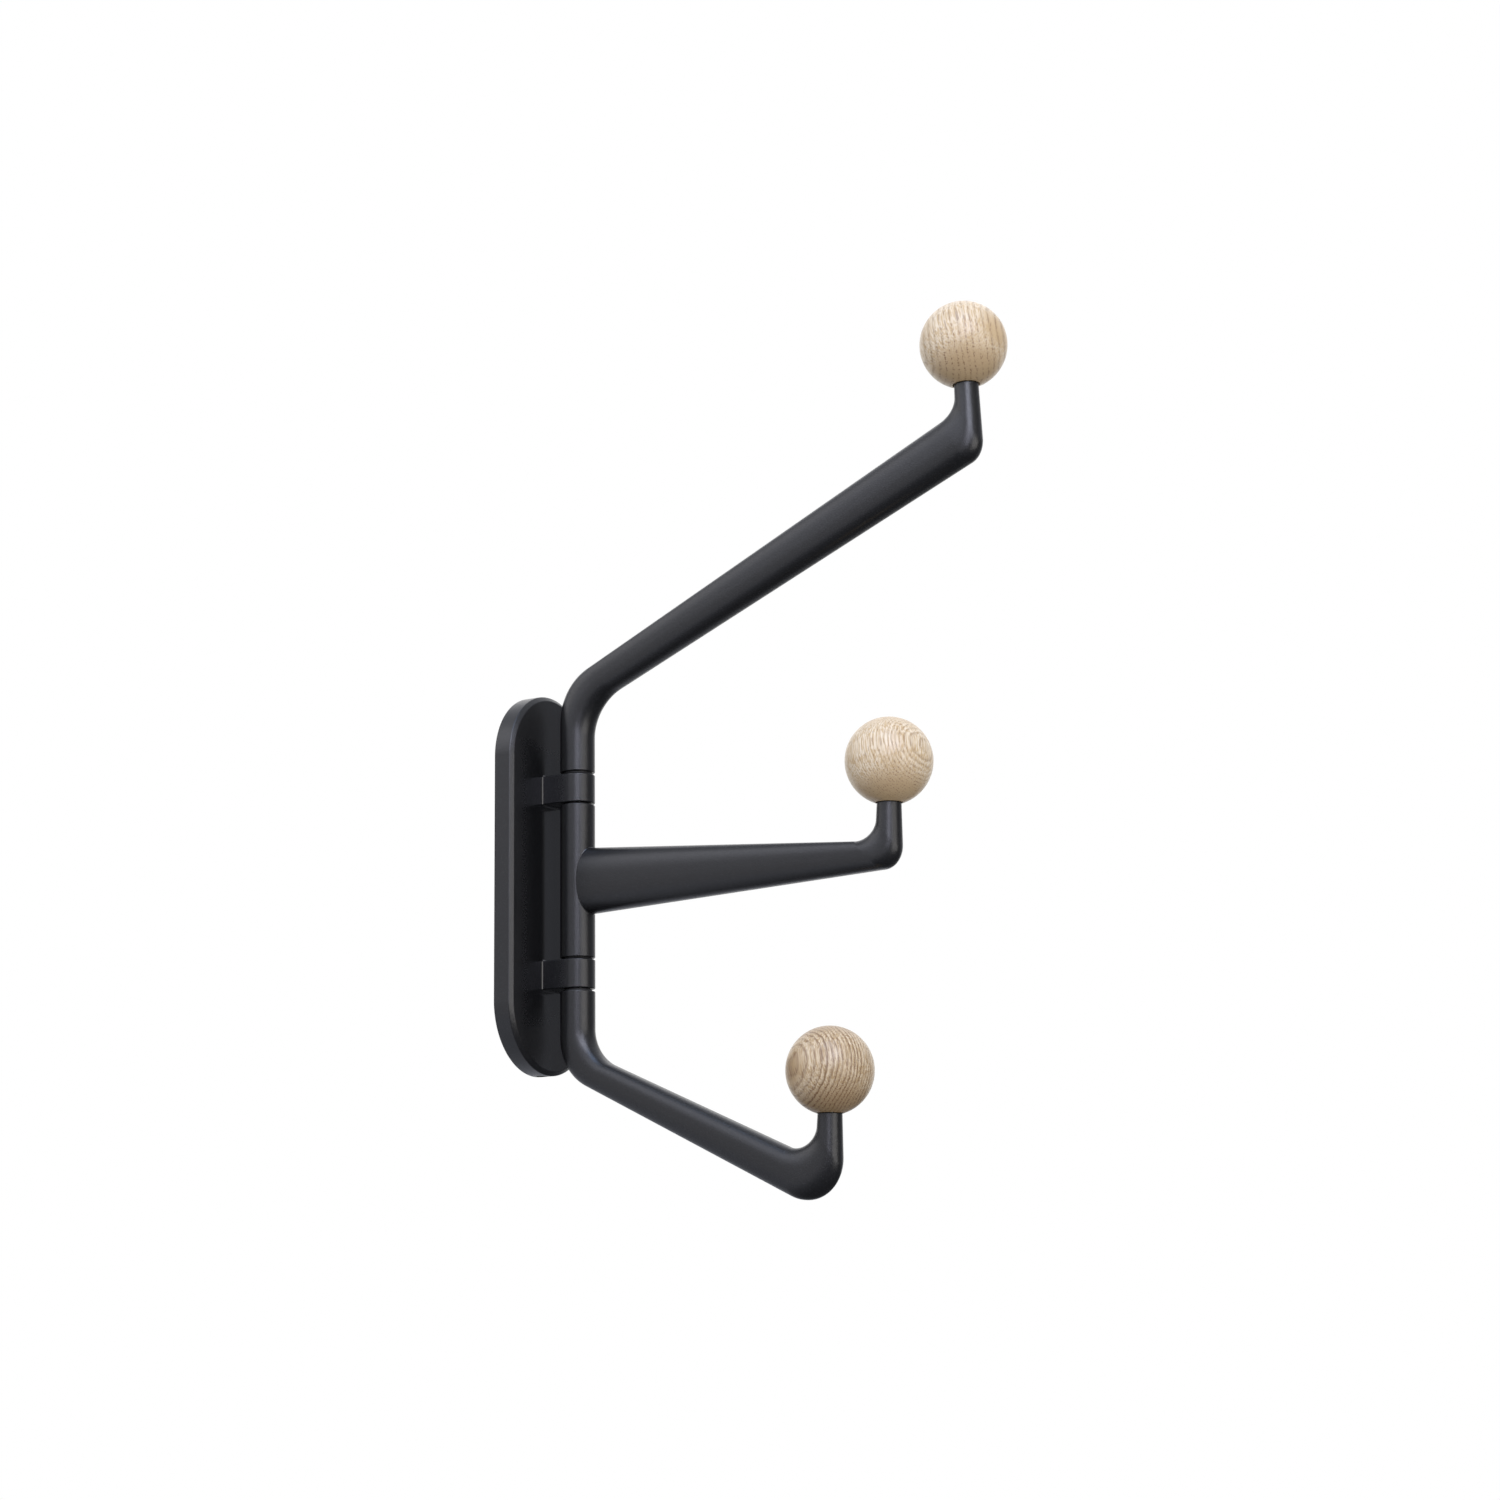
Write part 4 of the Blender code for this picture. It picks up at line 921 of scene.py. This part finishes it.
def lacquered_oak(name, place, looks):
    """Oak under a matt lacquer, its rings, pores and rays drawn in millimetres along the fibres."""
    pale, tan, line = looks["colours"]
    finish, shader, where = started_finish(name, pale, OAK_ROUGHNESS[0])
    shader.inputs["Diffuse Roughness"].default_value = OAK_FLATNESS
    straight, wood = oak_wood(finish, where, place, looks)
    distance, around, along = about_pith(finish, wood, looks["pith"])
    end_grain = remapped(finish, figured(finish, "ABSOLUTE", along), OAK_END_RANGE)
    away = fed_node(finish, "ShaderNodeVectorMath", {0: straight, 1: looks["stain"]}, operation="DISTANCE")
    stain = remapped(finish, away.outputs["Value"], OAK_STAIN_RANGE, (looks["stain_share"], 0.0))
    tanned = figured(finish, "MAXIMUM", stain, figured(finish, "MULTIPLY", end_grain, OAK_END_TAN_SHARE))
    fibres = noise(finish, stretched(finish, wood, OAK_FIBRE_SCALES), detail=4.0)
    inputs = {"X": around, "Y": distance, "Z": along}
    radial = fed_node(finish, "ShaderNodeCombineXYZ", inputs).outputs[0]
    ground = oak_ground(finish, straight, fibres, radial, tanned, (pale, tan))
    early, lines = oak_rings(finish, distance, looks)
    lines = figured(finish, "MAXIMUM", lines, figured(finish, "MULTIPLY", end_grain, OAK_END_LINE_SHARE))
    lined = blended(finish, lines, ground, line)
    inside = figured(finish, "SUBTRACT", remapped(finish, early, wanted=looks["pores"]),
                     oak_cells(finish, wood, OAK_PORE_SCALES))
    pores = remapped(finish, inside, OAK_PORE_RANGE)
    fine = oak_cells(finish, wood, OAK_FINE_PORE_SCALES)
    fine_pores = remapped(finish, fine, OAK_FINE_PORE_RANGE, (OAK_FINE_PORE_SHARE, 0.0))
    depth = remapped(finish, end_grain, wanted=(OAK_SIDE_PORE_SHARE * looks["depth"], looks["depth"]))
    dark = figured(finish, "MULTIPLY", figured(finish, "MAXIMUM", pores, fine_pores), depth)
    connect(finish, blended(finish, dark, lined, OAK_PORE), shader, "Base Color")
    connect(finish, remapped(finish, fibres, NOISE_SPREAD, OAK_ROUGHNESS), shader, "Roughness")
    relief(finish, shader, figured(finish, "SUBTRACT", 1.0, pores), OAK_RELIEF)
    return finish


def oak_ball(place):
    """A turned ball, recessed a little round the stub, with a blind bore for its insert."""
    seat_level = BALL_SEAT_LEVEL - SEAT_RECESS
    bore_end = INSERT_RECESS + INSERT_LENGTH + BLIND_END_ROOM - BALL_SEAT_LEVEL
    bore_radius = INSERT_DIAMETER / 2 + FIT_GAP
    start = math.asin(BALL_SEAT_RADIUS / BALL_RADIUS)
    turns = [start + (math.pi - start) * step / BALL_STEPS for step in range(BALL_STEPS + 1)]
    profile = [(0, bore_end), (bore_radius, bore_end), (bore_radius, -seat_level),
               (BALL_SEAT_RADIUS, -seat_level)]
    profile += [(BALL_RADIUS * math.sin(turn), -BALL_RADIUS * math.cos(turn)) for turn in turns[:-1]]
    return turned(profile + [(0, BALL_RADIUS)], BALL_SIDES, place)


def add_ball(arm, shape, looks):
    """An arm's oak ball, and the finishes of the insert and the stud inside it."""
    place = ball_place(shape)
    oak = lacquered_oak(f"{arm}_oak", place, looks)
    finished_piece(f"{arm}_oak_ball", oak_ball(place), oak, arm, "lacquered_oak", f"{arm}_ball")
    dressed(turned_brass, f"{arm}_ball_insert")
    dressed(zinc, f"{arm}_ball_stud")


turned_brass = brass()
add_ball("middle", middle_shape, MIDDLE_OAK)


# Upper arm. The same coated casting, drawn from a tube that stands on the upper lug round a
# bend and up along a bar to its elbow. The tube hides the upper end of the pin.
ARM_GAP = 0.0011
PIN_GRIP = 0.0240
GROOVE_INSET = 0.0040
GRUB_DIAMETER = 0.0040
UPPER_BALL_REACH = 0.1861
UPPER_BALL_HEIGHT = 0.1987
UPPER_STUB_OFFSET = 0.0018
UPPER_TOP_BEND_HEIGHT = 0.0831
UPPER_TOP_BEND_RADIUS = 0.0240
UPPER_UNDER_BEND_HEIGHT = 0.0742
UPPER_UNDER_BEND_RADIUS = 0.0216
UPPER_CROOK_DROP = 0.0279
UPPER_CROOK_RADIUS = 0.0110
UPPER_NOSE_DROP = 0.0462
UPPER_NOSE_RADIUS = 0.0089

TUBE_START = LUG_END + ARM_GAP
PIN_END = LUG_END + PIN_GRIP
GROOVE_HEIGHT = PIN_END - GROOVE_INSET


def grub_place(inward):
    """Frame of a grub screw: on the hinge axis at the pin's groove, Z towards the wall."""
    level = Matrix.Translation(hinge + Vector((0, 0, inward * GROOVE_HEIGHT)))
    return level @ Matrix.Rotation(-math.pi / 2, 4, "X")


def bent_casting(shape, inward, top_side, top_bend, top_radius, under_bend, under_radius):
    """An arm in one skin from its tube's mouth to its stub, bored, tapped and drilled."""
    mouth = inward * TUBE_START
    top_corner = Vector((top_side * TUBE_RADIUS, top_bend))
    under_corner = Vector((-top_side * TUBE_RADIUS, under_bend))
    top_arc = rounded_corner(Vector((top_corner.x, mouth)), top_corner, shape["crook"], top_radius)
    under_arc = rounded_corner(Vector((under_corner.x, mouth)), under_corner, shape["nose"], under_radius)
    bm = bmesh.new()
    rings = rim_sections(bm, Vector((0, mouth)), Vector((0, inward)), Vector((top_side, 0)), TUBE_RADIUS,
                         TUBE_EDGE_ROUND)
    thicknesses = (TUBE_DIAMETER, BAR_THICKNESS)
    rings += bend_sections(bm, top_arc, under_arc, thicknesses, (ROUND_EXPONENT, BAR_EXPONENT))
    rings += elbow_sections(bm, shape, top_corner, under_corner)
    bottom = inward * (PIN_END + BLIND_END_ROOM)
    outside = mouth - inward * CUT_OVERRUN
    profile = [(0, outside), *bore_steps(mouth, inward), (PIN_BORE_RADIUS, bottom), (0, bottom)]
    bm = machined(skinned(bm, rings), turned(profile, BORE_SIDES, hinge_place))
    tap = rod(GRUB_DIAMETER / 2 + FIT_GAP, 0, TUBE_RADIUS + CUT_OVERRUN, BORE_SIDES, grub_place(inward))
    return drilled_stub(machined(bm, tap), shape)


upper_shape = arm_shape(UPPER_BALL_REACH, UPPER_BALL_HEIGHT, UPPER_STUB_OFFSET, UPPER_CROOK_DROP,
                        UPPER_CROOK_RADIUS, UPPER_NOSE_DROP, UPPER_NOSE_RADIUS)
upper_casting = bent_casting(upper_shape, 1, -1, UPPER_TOP_BEND_HEIGHT, UPPER_TOP_BEND_RADIUS,
                             UPPER_UNDER_BEND_HEIGHT, UPPER_UNDER_BEND_RADIUS)
finished_piece("upper_arm_casting", upper_casting, coat, "upper", "anthracite_coat", "upper_arm")


# Upper arm's bush and grub screw. The bush is pressed in the tube's mouth, and its flange
# runs on the lug. The screw's dog point, in the pin's groove, keeps the arm on the pin.
GROOVE_DEPTH = 0.0010
GRUB_POINT_DIAMETER = 0.0024
GRUB_RECESS = 0.0004


def grub_screw(inward):
    """A dog-point grub screw in the back of a tube, with its socket towards the wall."""
    end = TUBE_RADIUS - GRUB_RECESS
    tip = PIN_DIAMETER / 2 - GROOVE_DEPTH + FIT_GAP
    profile = [
        (0, tip),
        (GRUB_POINT_DIAMETER / 2, tip),
        (GRUB_POINT_DIAMETER / 2, PIN_BORE_RADIUS),
        (GRUB_DIAMETER / 2, PIN_BORE_RADIUS),
        (GRUB_DIAMETER / 2, end - LOCK_SCREW_CHAMFER),
        (GRUB_DIAMETER / 2 - LOCK_SCREW_CHAMFER, end),
        (0, end),
    ]
    return socket_screw(profile, end, grub_place(inward))


finished_piece("upper_bush", flanged_bush(TUBE_START, 1, ARM_GAP), acetal, "upper", "black_acetal",
               "upper_arm_bush")
finished_piece("upper_grub", grub_screw(1), black_steel, "upper", "blackened_steel", "upper_arm_grub_screw")


# Upper ball. Straight-grained oak, turned and fixed like the middle one.
UPPER_OAK = {
    "fibre": (-0.38, -0.29, -0.88),
    "pith": (-71.6, -7.8),
    "ring_width": 2.4,
    "wander": 2.6,
    "colours": (OAK_PALE, OAK_TAN, OAK_LINE),
    "lines": 0.50,
    "pores": (0.16, 0.48),
    "depth": 0.80,
    "stain": (12.0, 12.3, 3.3),
    "stain_share": 0.9,
}

add_ball("upper", upper_shape, UPPER_OAK)


# Lower arm. A third coated casting, which hangs from the lower lug: its tube turns outwards
# and its bar falls to the elbow of the lowest ball.
LOWER_BALL_REACH = 0.1194
LOWER_BALL_DROP = 0.0857
LOWER_STUB_OFFSET = -0.0009
LOWER_TOP_BEND_DROP = 0.0725
LOWER_TOP_BEND_RADIUS = 0.0178
LOWER_UNDER_BEND_DROP = 0.0790
LOWER_UNDER_BEND_RADIUS = 0.0226
LOWER_CROOK_DROP = 0.0344
LOWER_CROOK_RADIUS = 0.0096
LOWER_NOSE_DROP = 0.0592
LOWER_NOSE_RADIUS = 0.0150

lower_shape = arm_shape(LOWER_BALL_REACH, -LOWER_BALL_DROP, LOWER_STUB_OFFSET, LOWER_CROOK_DROP,
                        LOWER_CROOK_RADIUS, LOWER_NOSE_DROP, LOWER_NOSE_RADIUS)
lower_casting = bent_casting(lower_shape, -1, 1, -LOWER_TOP_BEND_DROP, LOWER_TOP_BEND_RADIUS,
                             -LOWER_UNDER_BEND_DROP, LOWER_UNDER_BEND_RADIUS)
finished_piece("lower_arm_casting", lower_casting, coat, "lower", "anthracite_coat", "lower_arm")


# Lower arm's bush and grub screw. They are the upper arm's parts the other way up.
finished_piece("lower_bush", flanged_bush(-TUBE_START, -1, ARM_GAP), acetal, "lower", "black_acetal",
               "lower_arm_bush")
finished_piece("lower_grub", grub_screw(-1), black_steel, "lower", "blackened_steel",
               "lower_arm_grub_screw")


# Lower ball. The same turning in coarser, darker oak.
LOWER_OAK = {
    "fibre": (-0.19, -0.22, -0.96),
    "pith": (49.7, -5.1),
    "ring_width": 1.6,
    "wander": 2.6,
    "colours": ((0.560, 0.460, 0.310), (0.360, 0.250, 0.128), (0.165, 0.096, 0.040)),
    "lines": 0.90,
    "pores": (0.20, 0.50),
    "depth": 0.95,
    "stain": (-17.3, 2.0, 1.1),
    "stain_share": 0.9,
}

add_ball("lower", lower_shape, LOWER_OAK)


# Studio. The camera stands in front of the hook to its left and looks slightly up. Six
# softboxes go round from the right of the camera to behind the wall, the brightest above the
# camera, and a pale floor under the hook takes its shadow.
CAMERA_PLACE = (-1.08755, -0.76892, -0.21105)
CAMERA_TURN = math.radians(-58.639)
CAMERA_TILT = math.radians(90 + 11.4137)
CAMERA_ROLL = math.radians(0.669)
CAMERA_LENS = 77.095
FLOOR_CENTRE = (0, -0.10, -0.30)
FLOOR_RADIUS = 1.2
FLOOR_SIDES = 128
FLOOR_FADE = (0.35, 1.1)
FLOOR_ROUGHNESS = 0.9
FLOOR_COLOUR = (0.85, 0.85, 0.85)
FLOOR_BOUNCE = (0.34, 0.34, 0.34)
FLOOR_MIRRORED_FRONT = (0.07, 0.07, 0.07)
FLOOR_MIRRORED_REAR = (0.55, 0.55, 0.55)
FLOOR_MIRRORED_REACH = (0.0, 0.38)
SKY_FRONT = (0.14, 0.14, 0.14)

# Where the room is paler: its direction, the cosines at which it begins and is full, its colour.
SKY_REGIONS = (
    ((0.837, 0.510, 0.198), (0.0, 0.45), (0.18, 0.19, 0.23)),
    ((0.837, 0.510, 0.198), (0.6, 0.95), (0.88, 0.86, 0.81)),
    ((0.0, 0.0, 1.0), (0.2, 0.9), (0.52, 0.53, 0.58)),
    ((-0.94, 0.30, 0.10), (0.4, 0.95), (0.64, 0.64, 0.70)),
)

# Azimuth and elevation in degrees, size in metres, colour and radiance.
LAMPS = {
    "key": (-44, 33, (1.1, 0.9), (0.80, 0.83, 1.0), 8.6),
    "top": (-60, 62, (1.0, 0.8), (0.38, 0.58, 1.0), 3.9),
    "near": (-62, 14, (0.8, 0.6), (0.82, 0.82, 1.0), 4.8),
    "front": (-14, 0, (1.6, 1.1), (1.0, 0.97, 0.95), 2.8),
    "side": (-108, 38, (1.3, 1.3), (0.80, 0.84, 1.0), 1.4),
    "rear": (-150, 30, (1.2, 1.2), (1.0, 0.98, 1.0), 1.1),
}
LAMP_DISTANCE = 2.0
LAMP_AIM = Vector((0, -0.08, 0.03))


def studio_floor():
    """Pale floor that fades into the white backdrop and looks clear from below.

    Mirrored in the coat it is dark in front and pale behind, as with a black card before the hook.
    """
    finish, shader, where = started_finish("studio_floor", FLOOR_COLOUR, FLOOR_ROUGHNESS)
    tree = finish.node_tree
    ray = tree.nodes.new("ShaderNodeLightPath").outputs
    seen = ray["Is Camera Ray"]
    below = tree.nodes.new("ShaderNodeNewGeometry").outputs["Backfacing"]
    distance = fed_node(finish, "ShaderNodeVectorMath", {0: where}, operation="LENGTH").outputs["Value"]
    fade = figured(finish, "MULTIPLY", remapped(finish, distance, FLOOR_FADE), seen)
    rearwards = fed_node(finish, "ShaderNodeSeparateXYZ", {0: where}).outputs["Y"]
    rear_share = remapped(finish, rearwards, FLOOR_MIRRORED_REACH)
    mirrored = blended(finish, rear_share, FLOOR_MIRRORED_FRONT, FLOOR_MIRRORED_REAR)
    bounce = blended(finish, ray["Is Glossy Ray"], FLOOR_BOUNCE, mirrored)
    connect(finish, blended(finish, seen, bounce, FLOOR_COLOUR), shader, "Base Color")
    white = fed_node(finish, "ShaderNodeEmission", {"Color": (1, 1, 1, 1)}).outputs[0]
    faded = fed_node(finish, "ShaderNodeMixShader", {0: fade, 1: shader.outputs[0], 2: white}).outputs[0]
    clear = fed_node(finish, "ShaderNodeBsdfTransparent", {}).outputs[0]
    surface = fed_node(finish, "ShaderNodeMixShader", {0: below, 1: faded, 2: clear}).outputs[0]
    connect(finish, surface, tree.nodes["Material Output"], "Surface")
    return finish


def studio_world():
    """White for the camera. For other rays, a dim room with a pale backdrop, ceiling and side."""
    world = bpy.data.worlds.new("studio")
    world.use_nodes = True
    background = world.node_tree.nodes["Background"]
    direction = world.node_tree.nodes.new("ShaderNodeTexCoord").outputs["Generated"]
    seen = world.node_tree.nodes.new("ShaderNodeLightPath").outputs["Is Camera Ray"]
    sky = blended(world, 0.0, SKY_FRONT, SKY_FRONT)
    for middle, spread, colour in SKY_REGIONS:
        inputs = {0: direction, 1: middle}
        towards = fed_node(world, "ShaderNodeVectorMath", inputs, operation="DOT_PRODUCT")
        share = remapped(world, towards.outputs["Value"], spread)
        inputs = {0: share, 6: sky, 7: (*colour, 1.0)}
        sky = fed_node(world, "ShaderNodeMix", inputs, data_type="RGBA", blend_type="ADD").outputs[2]
    connect(world, blended(world, seen, sky, (1, 1, 1)), background, "Color")
    return world


def softbox(name, azimuth, elevation, size, colour, radiance):
    """An area lamp aimed at the hook, its azimuth in degrees from -Y, positive towards +X."""
    lamp = bpy.data.lights.new(name, "AREA")
    lamp.shape = "RECTANGLE"
    lamp.size, lamp.size_y = size
    lamp.color = colour
    lamp.energy = radiance * math.pi * size[0] * size[1]
    level = Matrix.Rotation(math.radians(90 - elevation), 4, "X")
    turn = Matrix.Rotation(math.radians(azimuth), 4, "Z") @ level
    item = bpy.data.objects.new(name, lamp)
    item.matrix_world = Matrix.Translation(LAMP_AIM) @ turn @ Matrix.Translation((0, 0, LAMP_DISTANCE))
    bpy.context.collection.objects.link(item)


floor_form = bmesh.new()
bmesh.ops.create_circle(floor_form, cap_ends=True, radius=FLOOR_RADIUS, segments=FLOOR_SIDES)
floor_mesh = bpy.data.meshes.new("floor")
floor_form.to_mesh(floor_mesh)
floor_form.free()
floor_mesh.materials.append(studio_floor())
floor = bpy.data.objects.new("floor", floor_mesh)
floor.location = FLOOR_CENTRE
bpy.context.collection.objects.link(floor)

for name, settings in LAMPS.items():
    softbox(name, *settings)

scene = bpy.context.scene
scene.world = studio_world()
scene.view_settings.view_transform = "Standard"
camera = bpy.data.objects.new("camera", bpy.data.cameras.new("camera"))
camera.data.lens = CAMERA_LENS
camera.matrix_world = (Matrix.Translation(CAMERA_PLACE) @ Matrix.Rotation(CAMERA_TURN, 4, "Z")
                       @ Matrix.Rotation(CAMERA_TILT, 4, "X") @ Matrix.Rotation(-CAMERA_ROLL, 4, "Z"))
bpy.context.collection.objects.link(camera)
scene.camera = camera
